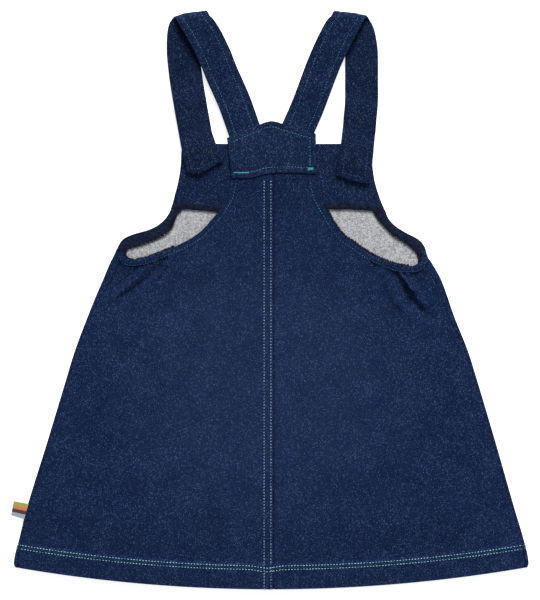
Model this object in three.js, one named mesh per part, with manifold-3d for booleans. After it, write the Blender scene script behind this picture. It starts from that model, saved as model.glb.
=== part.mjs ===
// A child's pinafore dress in denim-look sweat cloth, laid flat on a surface with its back up.
// Millimetres, +Z up. The origin is the middle of its outline, on the surface that it lies on.
// Left is the wearer's left, at -X, and +Y points from the hem to the straps.
import * as THREE from "three";
import Module from "manifold-3d";

const wasm = await Module();
wasm.setup();

const { lerp, smoothstep, degToRad } = THREE.MathUtils;

// Cloth
const CLOTH = 1.3;
const GAP = 0.3;
const HEM_DEPTH = 22.5;
const HEM_BOW = 22;

// Heights of the layers above the surface
const FACING_UNDER = CLOTH + GAP;
const SHOULDER_HEIGHT = 4.8;
const YOKE_TOP = 6.4;

// Colours
const DENIM = 0x1d2c49;
const DENIM_INSIDE = 0x1a2844;
const BUTTON_COLOUR = 0x18233c;
const LABEL_COLOUR = 0xb0b05c;

// Front panel from the bib's top to the armholes' lower ends: a row for each section
const bibSections = [
  { y: 156, left: -88, right: 103.5 },
  { y: 151, left: -88.4, right: 103.5 },
  { y: 146, left: -89, right: 102.8 },
  { y: 141, left: -89.3, right: 102 },
  { y: 136, left: -89.5, right: 101.6 },
  { y: 130, left: -90, right: 102.2 },
  { y: 122, left: -91.5, right: 103.5 },
  { y: 112, left: -93.2, right: 105 },
  { y: 101, left: -96.6, right: 109.5 },
  { y: 90, left: -99.8, right: 114.3 },
  { y: 82, left: -104.5, right: 117.5 },
  { y: 75, left: -112, right: 123.4 },
  { y: 70, left: -122, right: 130.5 },
  { y: 66, left: -136, right: 137.5 },
  { y: 62, left: -145.5, right: 145.5 },
  { y: 57, left: -151.5, right: 151.5 },
  { y: 50, left: -155.5, right: 155.5 },
];

// Skirt from the armholes' lower ends to the hem. y is taken at the side seams, left and right are the
// outline, leftSeam and rightSeam tell how far in from it the side seams lie on the back, height is
// the top of the cloth at the side folds, and wall is how thick each side is.
const skirtSections = [
  { y: 46, left: -157.5, right: 157, leftSeam: 9.5, rightSeam: 8.5, height: 4.8, wall: CLOTH },
  { y: 44, left: -158.5, right: 158.2, leftSeam: 9.5, rightSeam: 8.5, height: 4.8, wall: CLOTH },
  { y: 42, left: -159.5, right: 159.5, leftSeam: 9.5, rightSeam: 8.5, height: 4.8, wall: CLOTH },
  { y: 40, left: -160.5, right: 161, leftSeam: 9.4, rightSeam: 8.5, height: 4.8, wall: CLOTH },
  { y: 38, left: -161.5, right: 162.5, leftSeam: 9.3, rightSeam: 8.5, height: 4.8, wall: CLOTH },
  { y: 36, left: -162, right: 163.7, leftSeam: 9.2, rightSeam: 8.5, height: 4.7, wall: CLOTH },
  { y: 30, left: -164.5, right: 166.5, leftSeam: 9, rightSeam: 7.6, height: 4.4, wall: CLOTH },
  { y: 22, left: -168, right: 170, leftSeam: 8.5, rightSeam: 7, height: 4, wall: CLOTH },
  { y: 14, left: -171.5, right: 173.5, leftSeam: 7.6, rightSeam: 6.4, height: 3.6, wall: CLOTH },
  { y: 6, left: -174.5, right: 176, leftSeam: 6, rightSeam: 6, height: 3.3, wall: CLOTH },
  { y: -3, left: -177.5, right: 178.7, leftSeam: 4.4, rightSeam: 6, height: 3.2, wall: CLOTH },
  { y: -16, left: -182.5, right: 183.5, leftSeam: 3, rightSeam: 6, height: 3.2, wall: CLOTH },
  { y: -32, left: -188.5, right: 190.5, leftSeam: 2.3, rightSeam: 4.5, height: 3.2, wall: CLOTH },
  { y: -52, left: -196, right: 197.8, leftSeam: 2.3, rightSeam: 2.6, height: 3.2, wall: CLOTH },
  { y: -80, left: -204.5, right: 206.5, leftSeam: 2.3, rightSeam: 2.3, height: 3.2, wall: CLOTH },
  { y: -112, left: -214.5, right: 215.5, leftSeam: 2.3, rightSeam: 2.3, height: 3.2, wall: CLOTH },
  { y: -144, left: -223.8, right: 225.5, leftSeam: 2.3, rightSeam: 2.3, height: 3.2, wall: CLOTH },
  { y: -176, left: -234, right: 235.2, leftSeam: 2.3, rightSeam: 2.3, height: 3.2, wall: CLOTH },
  { y: -208, left: -243.5, right: 243.8, leftSeam: 2.3, rightSeam: 2.3, height: 3.2, wall: CLOTH },
  { y: -228, left: -248.6, right: 249.8, leftSeam: 2.6, rightSeam: 2.6, height: 3.2, wall: CLOTH },
  { y: -242, left: -252, right: 253.8, leftSeam: 3, rightSeam: 3, height: 3.2, wall: CLOTH },
  { y: -244.5, left: -252.8, right: 254.4, leftSeam: 3.4, rightSeam: 3.4, height: 5.5, wall: 2 * CLOTH },
  { y: -256, left: -255.5, right: 257, leftSeam: 3.4, rightSeam: 3.4, height: 5.5, wall: 2 * CLOTH },
  { y: -266.5, left: -256.6, right: 258, leftSeam: 3.4, rightSeam: 3.4, height: 5.5, wall: 2 * CLOTH },
];

// Where each side of the front starts to fold round to the back, and over how much height
const FOLD_START = { left: 46, right: 40 };
const FOLD_RISE = 4;
const FOLD_STEPS = 3;
const LEAST_LIP = 0.6;

// Armhole edges of the back panels, from the yoke down to the side seams: a row for each section
const leftArmhole = [
  { y: 132, x: -38 },
  { y: 124, x: -38.6 },
  { y: 114, x: -40.5 },
  { y: 106, x: -42.2 },
  { y: 97, x: -46.5 },
  { y: 88, x: -52.1 },
  { y: 80, x: -59 },
  { y: 73, x: -65 },
  { y: 66, x: -72.5 },
  { y: 60, x: -82 },
  { y: 55, x: -93 },
  { y: 50, x: -105.5 },
  { y: 46, x: -115.5 },
  { y: 43.5, x: -131 },
];
const rightArmhole = [
  { y: 132, x: 44.4 },
  { y: 124, x: 45 },
  { y: 114, x: 45.6 },
  { y: 106, x: 47.6 },
  { y: 97, x: 51.5 },
  { y: 88, x: 57 },
  { y: 80, x: 61.2 },
  { y: 72, x: 66.5 },
  { y: 64, x: 73 },
  { y: 58, x: 83 },
  { y: 52, x: 92 },
  { y: 46, x: 103 },
  { y: 41, x: 118 },
  { y: 38, x: 133 },
];

// Centre back seam: its place, and the allowances pressed to the left under the cloth
const SEAM_X = 2.9;
const ALLOWANCE = 10.5;
const ALLOWANCE_RISE = 0.6;

// Columns of a back panel from the armhole or side seam to the centre, as shares of its width. The outer
// ones are close, because the elastic gathers the cloth there, a gather to each pair of columns.
const GATHER_SHARE = 0.28;
const GATHER_COLUMNS = 10;
const INNER_COLUMNS = 6;
const GATHER_HEIGHT = 0.9;
const GATHER_REACH = 26;
const PUFF = 1.8;

// Folds in the skirt's back: troughs go down from the puffed cloth, and ridges up
const folds = [
  { x1: -112, y1: 36, x2: -136, y2: 14, width: 4.5, rise: -1.8 },
  { x1: -136, y1: 14, x2: -160, y2: -3, width: 5.5, rise: -1.5 },
  { x1: -122, y1: 40, x2: -150, y2: 12, width: 5, rise: 1.5 },
  { x1: -92, y1: 22, x2: -103, y2: -8, width: 8, rise: -1.2 },
  { x1: -103, y1: -8, x2: -146, y2: -60, width: 10, rise: -1 },
  { x1: 125, y1: 30, x2: 141, y2: 6, width: 4, rise: -1.9 },
  { x1: 141, y1: 6, x2: 166, y2: -18, width: 6, rise: -1.5 },
  { x1: 134, y1: 28, x2: 144, y2: 18, width: 3, rise: -0.9 },
  { x1: 143, y1: 24, x2: 153, y2: 10, width: 5, rise: 1.5 },
  { x1: 118, y1: 24, x2: 132, y2: -2, width: 6, rise: 1.2 },
  { x1: 150, y1: -22, x2: 88, y2: -52, width: 11, rise: -0.8 },
  { x1: 24, y1: -20, x2: 25, y2: -150, width: 9, rise: -0.8 },
  { x1: -60, y1: 60, x2: -70, y2: -40, width: 14, rise: 0.8 },
  { x1: 62, y1: 50, x2: 74, y2: -60, width: 14, rise: 0.8 },
];

// Back yoke: its top and bottom edges at each place across, and its two sides
const yokeEdges = [
  { x: -43.5, top: 161.5, bottom: 121 },
  { x: -32, top: 166.4, bottom: 121.2 },
  { x: -21.5, top: 170.8, bottom: 121.7 },
  { x: -9.8, top: 175.4, bottom: 124.6 },
  { x: -4, top: 177.6, bottom: 125.7 },
  { x: 0.9, top: 178.4, bottom: 126.2 },
  { x: 6, top: 177.7, bottom: 126.5 },
  { x: 11.5, top: 175.8, bottom: 126.6 },
  { x: 22, top: 172.5, bottom: 126.5 },
  { x: 34, top: 169, bottom: 126 },
  { x: 45.3, top: 165.8, bottom: 125.5 },
];
const YOKE_TAPER = 4.8;
const YOKE_OUTER_UNDER = YOKE_TOP - CLOTH;
const YOKE_INNER_UNDER = 3.5;
const yokeSections = [
  { share: 0, under: YOKE_OUTER_UNDER },
  { share: 0.26, under: YOKE_OUTER_UNDER },
  { share: 0.29, under: YOKE_INNER_UNDER },
  { share: 0.48, under: YOKE_INNER_UNDER },
  { share: 0.66, under: YOKE_INNER_UNDER },
  { share: 0.69, under: YOKE_OUTER_UNDER },
  { share: 0.85, under: YOKE_OUTER_UNDER },
  { share: 1, under: YOKE_OUTER_UNDER },
];

// Straps: the middle of the strip from under the yoke, over the loop and down onto the bib's inside.
// z is the middle of its thickness and turn the angle of its width, in degrees from +X.
const STRAP_WIDTH = 33;
const STRAP_WALL = 2 * CLOTH;
const STRAP_STEP = 11;
const STRAP_POINT = 5;
const LOOP_RADIUS = 5;
const LOOP_STEPS = 7;
const leftStrap = {
  rise: [
    { x: -23.5, y: 162.7, z: 3.4, turn: 21 },
    { x: -26, y: 169.2, z: 3.4, turn: 21 },
    { x: -36.2, y: 197.8, z: 3.9, turn: 22 },
    { x: -48.7, y: 226, z: 5.4, turn: 23 },
    { x: -55, y: 242, z: 7.3, turn: 24 },
    { x: -63.5, y: 259.5, z: 9.7, turn: 23 },
    { x: -71.5, y: 273, z: 11.3, turn: 17 },
  ],
  loop: { x1: -76.5, x2: -84.5, y: 280, z: 6.6, turn: 8 },
  fall: [
    { x: -86.5, y: 269, z: 1.7, turn: 3 },
    { x: -87.2, y: 256, z: 1.6, turn: 1 },
    { x: -86.8, y: 243, z: 1.6, turn: 3 },
    { x: -84.5, y: 222, z: 1.7, turn: 6 },
    { x: -82.6, y: 210, z: 2.9, turn: 7 },
    { x: -81, y: 201, z: 4.2, turn: 8 },
    { x: -79, y: 189, z: 4.3, turn: 8 },
    { x: -77, y: 178, z: 4.3, turn: 9 },
    { x: -75.2, y: 168, z: 5, turn: 10 },
    { x: -73.4, y: 158.5, z: 7.2, turn: 11 },
    { x: -71, y: 146, z: 7.3, turn: 12 },
    { x: -68, y: 133, z: 7.3, turn: 14 },
  ],
};
const rightStrap = {
  rise: [
    { x: 24.3, y: 163.9, z: 3.4, turn: -23 },
    { x: 26.3, y: 168.5, z: 3.4, turn: -23 },
    { x: 37.3, y: 193.5, z: 3.9, turn: -23 },
    { x: 49.3, y: 225.5, z: 5.4, turn: -21 },
    { x: 55.8, y: 241.5, z: 7.3, turn: -22 },
    { x: 63.3, y: 257.5, z: 9.7, turn: -23 },
    { x: 71, y: 272, z: 11.3, turn: -18 },
  ],
  loop: { x1: 76.5, x2: 84, y: 280, z: 6.6, turn: -7 },
  fall: [
    { x: 87.5, y: 269, z: 1.7, turn: 0 },
    { x: 90, y: 256, z: 1.6, turn: 0 },
    { x: 91, y: 243, z: 1.6, turn: 0 },
    { x: 91, y: 216, z: 1.7, turn: 0 },
    { x: 91, y: 203, z: 2.9, turn: -1 },
    { x: 90.6, y: 194, z: 4.2, turn: -2 },
    { x: 89.4, y: 182, z: 4.3, turn: -4 },
    { x: 88.6, y: 171, z: 4.3, turn: -5 },
    { x: 87.6, y: 163, z: 4.9, turn: -5 },
    { x: 86.6, y: 154, z: 7.1, turn: -6 },
    { x: 84.8, y: 137, z: 7.3, turn: -7 },
    { x: 83.4, y: 124, z: 7.3, turn: -8 },
  ],
};

// Armhole casings on the inside of the front: width across, and the small waves of the elastic
const CASING_WIDTH = 12;
const CASING_END_WIDTH = 17;
const CASING_STATIONS = 34;
const CASING_WAVE = 0.45;
const CASING_END = { left: 48.5, right: 42.5 };

// Buttons on the straps' outer face: the lower one of each strap goes through the bib
const BUTTON_RADIUS = 7.5;
const BUTTON_THICK = 2.2;
const BUTTON_UNDER = 0.1;
const BUTTON_EDGE = 0.6;
const BUTTON_LIFT = 2.7;
const LIFT_REACH = { flat: 14, end: 28 };
const SHANK_RADIUS = 0.8;
const BUTTONHOLE = { long: 17, wide: 2.4 };
const buttons = [
  { name: "button_left_in_bib", x: -72.5, y: 146, inBib: true },
  { name: "button_left_spare", x: -81.5, y: 189, inBib: false },
  { name: "button_right_in_bib", x: 83, y: 137, inBib: true },
  { name: "button_right_spare", x: 89.3, y: 182, inBib: false },
];

// Loop label in the left side seam: its corners in order, from the seam's upper end
const LABEL_WALL = 1;
const LABEL_DROP = 1.6;
const labelCorners = {
  innerTop: { x: -241.3, y: -203.2 },
  outerTop: { x: -256.4, y: -200.7 },
  innerEnd: { x: -245.6, y: -218.5 },
  outerEnd: { x: -259.2, y: -214.8 },
};

// A column of a table at a height, between its rows
function readTable(table, y, column) {
  const next = table.findIndex((row) => row.y <= y);
  if (next === -1) return table.at(-1)[column];
  if (next === 0) return table[0][column];
  const above = table[next - 1];
  const below = table[next];
  return lerp(above[column], below[column], (above.y - y) / (above.y - below.y));
}

// A closed wall between two grids of points. Rows go down, columns to the right, and over faces up.
function wall(under, over) {
  const lastRow = under.length - 1;
  const lastColumn = under[0].length - 1;
  const at = (side, row, column) => (side * (lastRow + 1) + row) * (lastColumn + 1) + column;
  const index = [];
  const quad = (a, b, c, d) => index.push(a, b, c, a, c, d);
  for (let row = 0; row < lastRow; row++) {
    for (let column = 0; column < lastColumn; column++) {
      quad(at(1, row, column), at(1, row + 1, column), at(1, row + 1, column + 1), at(1, row, column + 1));
      quad(at(0, row, column), at(0, row, column + 1), at(0, row + 1, column + 1), at(0, row + 1, column));
    }
    quad(at(1, row, 0), at(0, row, 0), at(0, row + 1, 0), at(1, row + 1, 0));
    quad(at(1, row, lastColumn), at(1, row + 1, lastColumn), at(0, row + 1, lastColumn), at(0, row, lastColumn));
  }
  for (let column = 0; column < lastColumn; column++) {
    quad(at(1, 0, column), at(1, 0, column + 1), at(0, 0, column + 1), at(0, 0, column));
    quad(at(1, lastRow, column + 1), at(1, lastRow, column), at(0, lastRow, column), at(0, lastRow, column + 1));
  }
  const geometry = new THREE.BufferGeometry();
  const points = [...under.flat(), ...over.flat()].flatMap((point) => [point.x, point.y, point.z]);
  geometry.setAttribute("position", new THREE.Float32BufferAttribute(points, 3));
  geometry.setIndex(index);
  return geometry;
}

// A wall over a grid of points in plan, from a height under each point and a thickness
function sheet(plan, underAt, thicknessAt) {
  const under = plan.map((row) => row.map((point) => new THREE.Vector3(point.x, point.y, underAt(point))));
  const over = under.map((row, i) =>
    row.map((point, j) => point.clone().setZ(point.z + thicknessAt(plan[i][j]))),
  );
  return wall(under, over);
}

// A geometry with a box cut out of it
function cutBox(geometry, size, centre) {
  const box = new THREE.BoxGeometry(size.x, size.y, size.z).translate(centre.x, centre.y, centre.z);
  const cut = solid(geometry).subtract(solid(box)).getMesh();
  const made = new THREE.BufferGeometry();
  const points = [];
  for (let i = 0; i < cut.vertProperties.length; i += cut.numProp)
    points.push(...cut.vertProperties.subarray(i, i + 3));
  made.setAttribute("position", new THREE.Float32BufferAttribute(points, 3));
  made.setIndex([...cut.triVerts]);
  return made;
}

// A closed geometry as a solid, with each corner held once
function solid(geometry) {
  const source = geometry.index ? geometry.toNonIndexed() : geometry;
  const position = source.getAttribute("position");
  const found = new Map();
  const points = [];
  const corners = [];
  for (let i = 0; i < position.count; i++) {
    const place = [position.getX(i), position.getY(i), position.getZ(i)];
    const key = place.map((value) => value.toFixed(4)).join();
    if (!found.has(key)) {
      found.set(key, points.length / 3);
      points.push(...place);
    }
    corners.push(found.get(key));
  }
  const mesh = { numProp: 3, vertProperties: new Float32Array(points), triVerts: new Uint32Array(corners) };
  return new wasm.Manifold(new wasm.Mesh(mesh));
}

function mesh(name, geometry, colour, roughness = 0.9) {
  const made = new THREE.Mesh(geometry, new THREE.MeshStandardMaterial({ color: colour, roughness, metalness: 0 }));
  made.name = name;
  return made;
}

// How far the cloth of the bib is pushed up by the two buttons that lie under it
function buttonLift(x, y) {
  const near = buttons.filter((button) => button.inBib).map((button) => Math.hypot(x - button.x, y - button.y));
  return BUTTON_LIFT * (1 - smoothstep(Math.min(...near), LIFT_REACH.flat, LIFT_REACH.end));
}

// The skirt's sections sink in the middle towards the hem, where they bow the most
function bowedHeight(section, x) {
  const half = x < 0 ? section.left : section.right;
  const bow = HEM_BOW * smoothstep(-section.y, 100, 266.5);
  return section.y - bow * (1 - (x / half) ** 2);
}

// One side of a front section, from the flat cloth out to the end of the lip that lies on the back
function foldedSide(section, side) {
  const sign = side === "left" ? -1 : 1;
  const height = section.height ?? SHOULDER_HEIGHT;
  const cloth = section.wall ?? CLOTH;
  const turn = Math.PI * smoothstep(FOLD_START[side] - section.y, 0, FOLD_RISE);
  const closed = turn > 0.99 * Math.PI;
  const lip = closed ? Math.max(section[side + "Seam"] - height / 2, LEAST_LIP) : LEAST_LIP;
  const run = (Math.PI * height) / 2;
  const radius = turn > 0 ? run / turn : 0;
  const reach = turn > Math.PI / 2 ? radius : turn > 0 ? radius * Math.sin(turn) + lip * Math.cos(turn) : run + lip;
  const start = Math.abs(section[side]) - reach;
  const outer = [];
  const inner = [];
  for (let step = 0; step <= FOLD_STEPS; step++) {
    const angle = (turn * step) / FOLD_STEPS;
    const flat = (run * step) / FOLD_STEPS;
    const out = turn > 0 ? radius * Math.sin(angle) : flat;
    const in_ = turn > 0 ? (radius - cloth) * Math.sin(angle) : flat;
    outer.push({ out: start + out, z: turn > 0 ? radius * (1 - Math.cos(angle)) : 0 });
    inner.push({ out: start + in_, z: cloth + (turn > 0 ? (radius - cloth) * (1 - Math.cos(angle)) : 0) });
  }
  for (const line of [outer, inner]) {
    const end = line.at(-1);
    line.push({ out: end.out + lip * Math.cos(turn), z: end.z + lip * Math.sin(turn) });
  }
  const place = (line) => line.map((point) => ({ x: sign * point.out, z: point.z }));
  return { outer: place(outer), inner: place(inner) };
}

// The front, with its hem turned up and its sides folded round to the side seams on the back
const frontColumns = [0.05, 0.1, 0.15, 0.22, 0.35, 0.5, 0.66, 0.76, 0.83, 0.9, 0.96];

function frontGrids() {
  const sections = [...bibSections, ...skirtSections];
  const grids = { under: [], over: [] };
  for (const section of sections) {
    const left = foldedSide(section, "left");
    const right = foldedSide(section, "right");
    for (const [name, line] of [["under", "outer"], ["over", "inner"]]) {
      const from = left[line][0];
      const to = right[line][0];
      const flat = frontColumns.map((share) => ({ x: lerp(from.x, to.x, share), z: from.z }));
      const points = [...left[line].toReversed(), ...flat, ...right[line]];
      const raise = (x) => (section.height ? 0 : buttonLift(x, section.y));
      const high = (x) => (section.height ? bowedHeight(section, x) : section.y);
      grids[name].push(points.map(({ x, z }) => new THREE.Vector3(x, high(x), z + raise(x))));
    }
  }
  return grids;
}

function makeFront(grids) {
  return cutButtonholes(wall(grids.under, grids.over));
}

// The bib's facing is made from the points of the front's inner face, moved up
function makeFacing(grids) {
  const rows = bibSections.filter((section) => section.y >= 90).length;
  const ends = FOLD_STEPS;
  const keep = (point, column, row) => column === 0 || column === row.length - 1 || inFlat(column, row.length);
  const inFlat = (column, count) => column >= ends && column < count - ends;
  const moved = (rise) =>
    grids.over.slice(0, rows).map((row) => row.filter(keep).map((point) => point.clone().setZ(point.z + rise)));
  return cutButtonholes(wall(moved(GAP), moved(GAP + CLOTH)));
}

function cutButtonholes(geometry) {
  let made = geometry;
  for (const button of buttons.filter((each) => each.inBib)) {
    const size = new THREE.Vector3(BUTTONHOLE.long, BUTTONHOLE.wide, 20);
    made = cutBox(made, size, new THREE.Vector3(button.x, button.y, 0));
  }
  return made;
}

// A strip along the front's armhole edge, on its inside, with the small waves of its elastic
function makeCasing(side) {
  const sign = side === "left" ? -1 : 1;
  const sections = [...bibSections, ...skirtSections];
  const rows = sections.filter((section) => section.y < 90 && section.y > CASING_END[side]);
  const heights = [90 - GAP, ...rows.map((section) => section.y), CASING_END[side]];
  const edge = heights.map((y) => new THREE.Vector3(readTable(sections, y, side), y, 0));
  const curve = new THREE.CatmullRomCurve3(edge);
  const stations = curve.getSpacedPoints(CASING_STATIONS);
  const plan = stations.map((point, i) => {
    const share = i / CASING_STATIONS;
    const tangent = curve.getTangentAt(share);
    const across = new THREE.Vector3(tangent.y, -tangent.x, 0).multiplyScalar(sign);
    across.lerp(new THREE.Vector3(-sign, 0, 0), 1 - smoothstep(share, 0, 0.3)).normalize();
    const width = lerp(CASING_WIDTH, CASING_END_WIDTH, smoothstep(share, 0.7, 1));
    const row = [0, 0.5, 1].map((part) => point.clone().addScaledVector(across, part * width));
    row.forEach((made, j) => (made.wave = j === 1 ? CASING_WAVE * (i % 2) : 0));
    return sign < 0 ? row : row.toReversed();
  });
  return sheet(plan, (point) => FACING_UNDER + point.wave, () => CLOTH);
}

// Height that the folds give at a point: each is a soft line between its two ends
function foldRise(x, y) {
  let rise = 0;
  for (const fold of folds) {
    const along = new THREE.Vector2(fold.x2 - fold.x1, fold.y2 - fold.y1);
    const from = new THREE.Vector2(x - fold.x1, y - fold.y1);
    const share = THREE.MathUtils.clamp(from.dot(along) / along.lengthSq(), 0, 1);
    const away = from.addScaledVector(along, -share).length() / fold.width;
    rise += fold.rise * Math.exp(-away * away);
  }
  return rise;
}

// A back panel: its sections go from the armhole or the side seam in to the centre seam
function makeBack(side) {
  const sign = side === "left" ? -1 : 1;
  const armhole = side === "left" ? leftArmhole : rightArmhole;
  const centre = SEAM_X + (sign * GAP) / 2;
  const seamTop = FOLD_START[side] - FOLD_RISE;
  const skirt = skirtSections.filter((section) => section.y <= seamTop);
  const sections = [
    ...armhole.map((row) => ({ y: row.y, edge: row.x, height: SHOULDER_HEIGHT, wall: CLOTH, armhole: true })),
    ...skirt.map((row) => ({ ...row, edge: row[side] - sign * (row[side + "Seam"] + GAP) })),
  ];
  const shares = [
    ...Array.from({ length: GATHER_COLUMNS }, (_, i) => 1 - (GATHER_SHARE * i) / GATHER_COLUMNS),
    ...Array.from({ length: INNER_COLUMNS }, (_, i) => ((1 - GATHER_SHARE) * (INNER_COLUMNS - i)) / INNER_COLUMNS),
  ];
  const plan = sections.map((section) => {
    const strip = centre + sign * (ALLOWANCE + 1.5);
    const outer = shares.map((share) => ({ x: lerp(strip, section.edge, share), share }));
    const inner = [strip, centre + sign * ALLOWANCE, centre].map((x) => ({ x, share: 0 }));
    const row = [...outer, ...inner].map(({ x, share }) => {
      const y = section.armhole ? section.y : bowedHeight(section, x);
      return { x, y, share, section };
    });
    return sign < 0 ? row : row.toReversed();
  });
  const topAt = (point) => {
    const { section, share } = point;
    const inset = section.armhole ? 60 : Math.abs(section.edge - point.x);
    const free = smoothstep(inset, 0, 26) * smoothstep(100 - point.y, 0, 60);
    const hem = smoothstep(point.section.y + 266.5, HEM_DEPTH - 12, HEM_DEPTH + 60);
    const wave = 0.5 + 0.5 * Math.cos((Math.PI * (1 - share) * GATHER_COLUMNS) / GATHER_SHARE);
    const below = seamTop - point.y;
    const pulled = smoothstep(share, 1 - GATHER_SHARE, 1 - 0.6 * GATHER_SHARE) * smoothstep(below, -10, 0);
    const gather = GATHER_HEIGHT * wave * pulled * (1 - smoothstep(below, 6, GATHER_REACH));
    const overAllowance = side === "left" && Math.abs(point.x - centre) < ALLOWANCE + 0.1;
    const ridge = overAllowance ? ALLOWANCE_RISE * smoothstep(122 - point.y, 0, 10) : 0;
    const puff = Math.max(PUFF + foldRise(point.x, point.y), 0) * free * hem;
    return section.height + puff + gather + ridge;
  };
  return sheet(plan, (point) => topAt(point) - point.section.wall, (point) => point.section.wall);
}

// The yoke lies over the tops of the back panels and the strap ends, and is double between them
function makeYoke() {
  const half = yokeEdges.at(-1).x;
  const plan = yokeSections.map(({ share, under }) =>
    yokeEdges.map((place) => ({
      x: place.x < 0 ? place.x * (1 - (share * YOKE_TAPER) / half) : place.x,
      y: lerp(place.top, place.bottom, share),
      under,
    })),
  );
  return sheet(plan, (point) => point.under, (point) => YOKE_TOP - point.under);
}

// A strap is a flat strip along its path. Its width stays level, and its end has a shallow point.
function makeStrap({ rise, loop, fall }) {
  const over = Array.from({ length: LOOP_STEPS }, (_, i) => {
    const share = i / (LOOP_STEPS - 1);
    const angle = Math.PI * share;
    return {
      x: lerp(loop.x1, loop.x2, share),
      y: loop.y + LOOP_RADIUS * Math.sin(angle),
      z: loop.z + LOOP_RADIUS * Math.cos(angle),
      turn: loop.turn,
    };
  });
  const places = [...rise, ...over, ...fall];
  const curve = new THREE.CatmullRomCurve3(places.map(({ x, y, z }) => new THREE.Vector3(x, y, z)));
  const stations = [];
  for (let i = 0; i < places.length - 1; i++) {
    const from = places[i];
    const to = places[i + 1];
    const steps = Math.ceil(Math.hypot(to.x - from.x, to.y - from.y, to.z - from.z) / STRAP_STEP);
    for (let step = 0; step < steps; step++) stations.push({ t: i + step / steps, from, to, share: step / steps });
  }
  stations.push({ t: places.length - 1, from: places.at(-1), to: places.at(-1), share: 0 });
  const faces = { under: [], over: [] };
  stations.forEach(({ t, from, to, share }, i) => {
    const at = t / (places.length - 1);
    const middle = curve.getPoint(at);
    const along = curve.getTangent(at);
    const turn = degToRad(lerp(from.turn, to.turn, share));
    const across = new THREE.Vector3(Math.cos(turn), Math.sin(turn), 0);
    const normal = new THREE.Vector3().crossVectors(across, along).normalize();
    const left = stations.length - 1 - i;
    const pointed = STRAP_POINT * Math.max(1 - left / 3, 0);
    for (const [name, sign] of [["under", -1], ["over", 1]]) {
      const row = [-1, -0.5, 0, 0.5, 1].map((part) =>
        middle
          .clone()
          .addScaledVector(across, (part * STRAP_WIDTH) / 2)
          .addScaledVector(along, pointed * (1 - Math.abs(part)))
          .addScaledVector(normal, (sign * STRAP_WALL) / 2),
      );
      faces[name].push(row);
    }
  });
  return wall(faces.over, faces.under);
}

// A button lies face down, with the thread that joins it to the strap where it goes through the bib
function makeButton(button) {
  const top = BUTTON_UNDER + BUTTON_THICK;
  const strapUnder = FACING_UNDER + BUTTON_LIFT + CLOTH + GAP;
  const shankTop = button.inBib ? strapUnder - 0.1 : top + 0.2;
  const profile = [
    [0, BUTTON_UNDER],
    [BUTTON_RADIUS - BUTTON_EDGE, BUTTON_UNDER],
    [BUTTON_RADIUS, BUTTON_UNDER + BUTTON_EDGE],
    [BUTTON_RADIUS, top - BUTTON_EDGE],
    [BUTTON_RADIUS - BUTTON_EDGE, top],
    [SHANK_RADIUS, top],
    [SHANK_RADIUS, shankTop],
    [0, shankTop],
  ];
  const lathe = new THREE.LatheGeometry(profile.map(([x, y]) => new THREE.Vector2(x, y)), 20);
  return lathe.rotateX(Math.PI / 2).translate(button.x, button.y, 0);
}

// The label comes out of the side seam, over the fold, and sinks towards its outer end
function makeLabel() {
  const { innerTop, outerTop, innerEnd, outerEnd } = labelCorners;
  const steps = [0, 1 / 3, 2 / 3, 1];
  const plan = steps.map((down) =>
    steps.map((inward) => ({
      x: lerp(lerp(outerTop.x, outerEnd.x, down), lerp(innerTop.x, innerEnd.x, down), inward),
      y: lerp(lerp(outerTop.y, outerEnd.y, down), lerp(innerTop.y, innerEnd.y, down), inward),
      outward: 1 - inward,
    })),
  );
  const seamTop = readTable(skirtSections, innerTop.y, "height");
  const underAt = (point) => seamTop + GAP - LABEL_DROP * smoothstep(point.outward, 0.35, 1);
  return sheet(plan, underAt, () => LABEL_WALL);
}

const dress = new THREE.Group();
const front = frontGrids();
dress.add(
  mesh("front_panel", makeFront(front), DENIM),
  mesh("bib_facing", makeFacing(front), DENIM),
  mesh("front_casing_left", makeCasing("left"), DENIM_INSIDE),
  mesh("front_casing_right", makeCasing("right"), DENIM_INSIDE),
  mesh("back_left", makeBack("left"), DENIM),
  mesh("back_right", makeBack("right"), DENIM),
  mesh("back_yoke", makeYoke(), DENIM),
  mesh("strap_left", makeStrap(leftStrap), DENIM),
  mesh("strap_right", makeStrap(rightStrap), DENIM),
  mesh("side_label", makeLabel(), LABEL_COLOUR),
);
for (const button of buttons) dress.add(mesh(button.name, makeButton(button), BUTTON_COLOUR, 0.4));

export default dress;
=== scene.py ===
# A child's pinafore dress in denim-look sweat cloth, laid flat with its back up.
# Lengths in the tables are millimetres, as a tape would read them on the dress, and every mesh is made in metres.
import math

import bmesh
import bpy
import numpy as np
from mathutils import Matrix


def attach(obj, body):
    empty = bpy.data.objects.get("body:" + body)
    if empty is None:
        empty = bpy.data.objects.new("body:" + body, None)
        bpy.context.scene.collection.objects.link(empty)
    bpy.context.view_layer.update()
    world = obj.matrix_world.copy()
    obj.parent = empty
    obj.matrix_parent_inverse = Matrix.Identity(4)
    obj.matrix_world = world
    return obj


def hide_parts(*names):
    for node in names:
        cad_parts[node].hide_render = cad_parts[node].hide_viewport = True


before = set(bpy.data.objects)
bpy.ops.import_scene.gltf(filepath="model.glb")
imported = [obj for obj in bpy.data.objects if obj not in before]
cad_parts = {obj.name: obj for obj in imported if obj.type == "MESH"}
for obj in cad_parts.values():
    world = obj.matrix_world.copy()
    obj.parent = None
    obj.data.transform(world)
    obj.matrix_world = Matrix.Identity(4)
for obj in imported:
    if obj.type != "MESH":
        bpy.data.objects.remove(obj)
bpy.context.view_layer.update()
scene = bpy.context.scene
mm = 0.001
sides = ("left", "right")
signs = {"left": -1, "right": 1}

print("camera, floor and lights")

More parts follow.
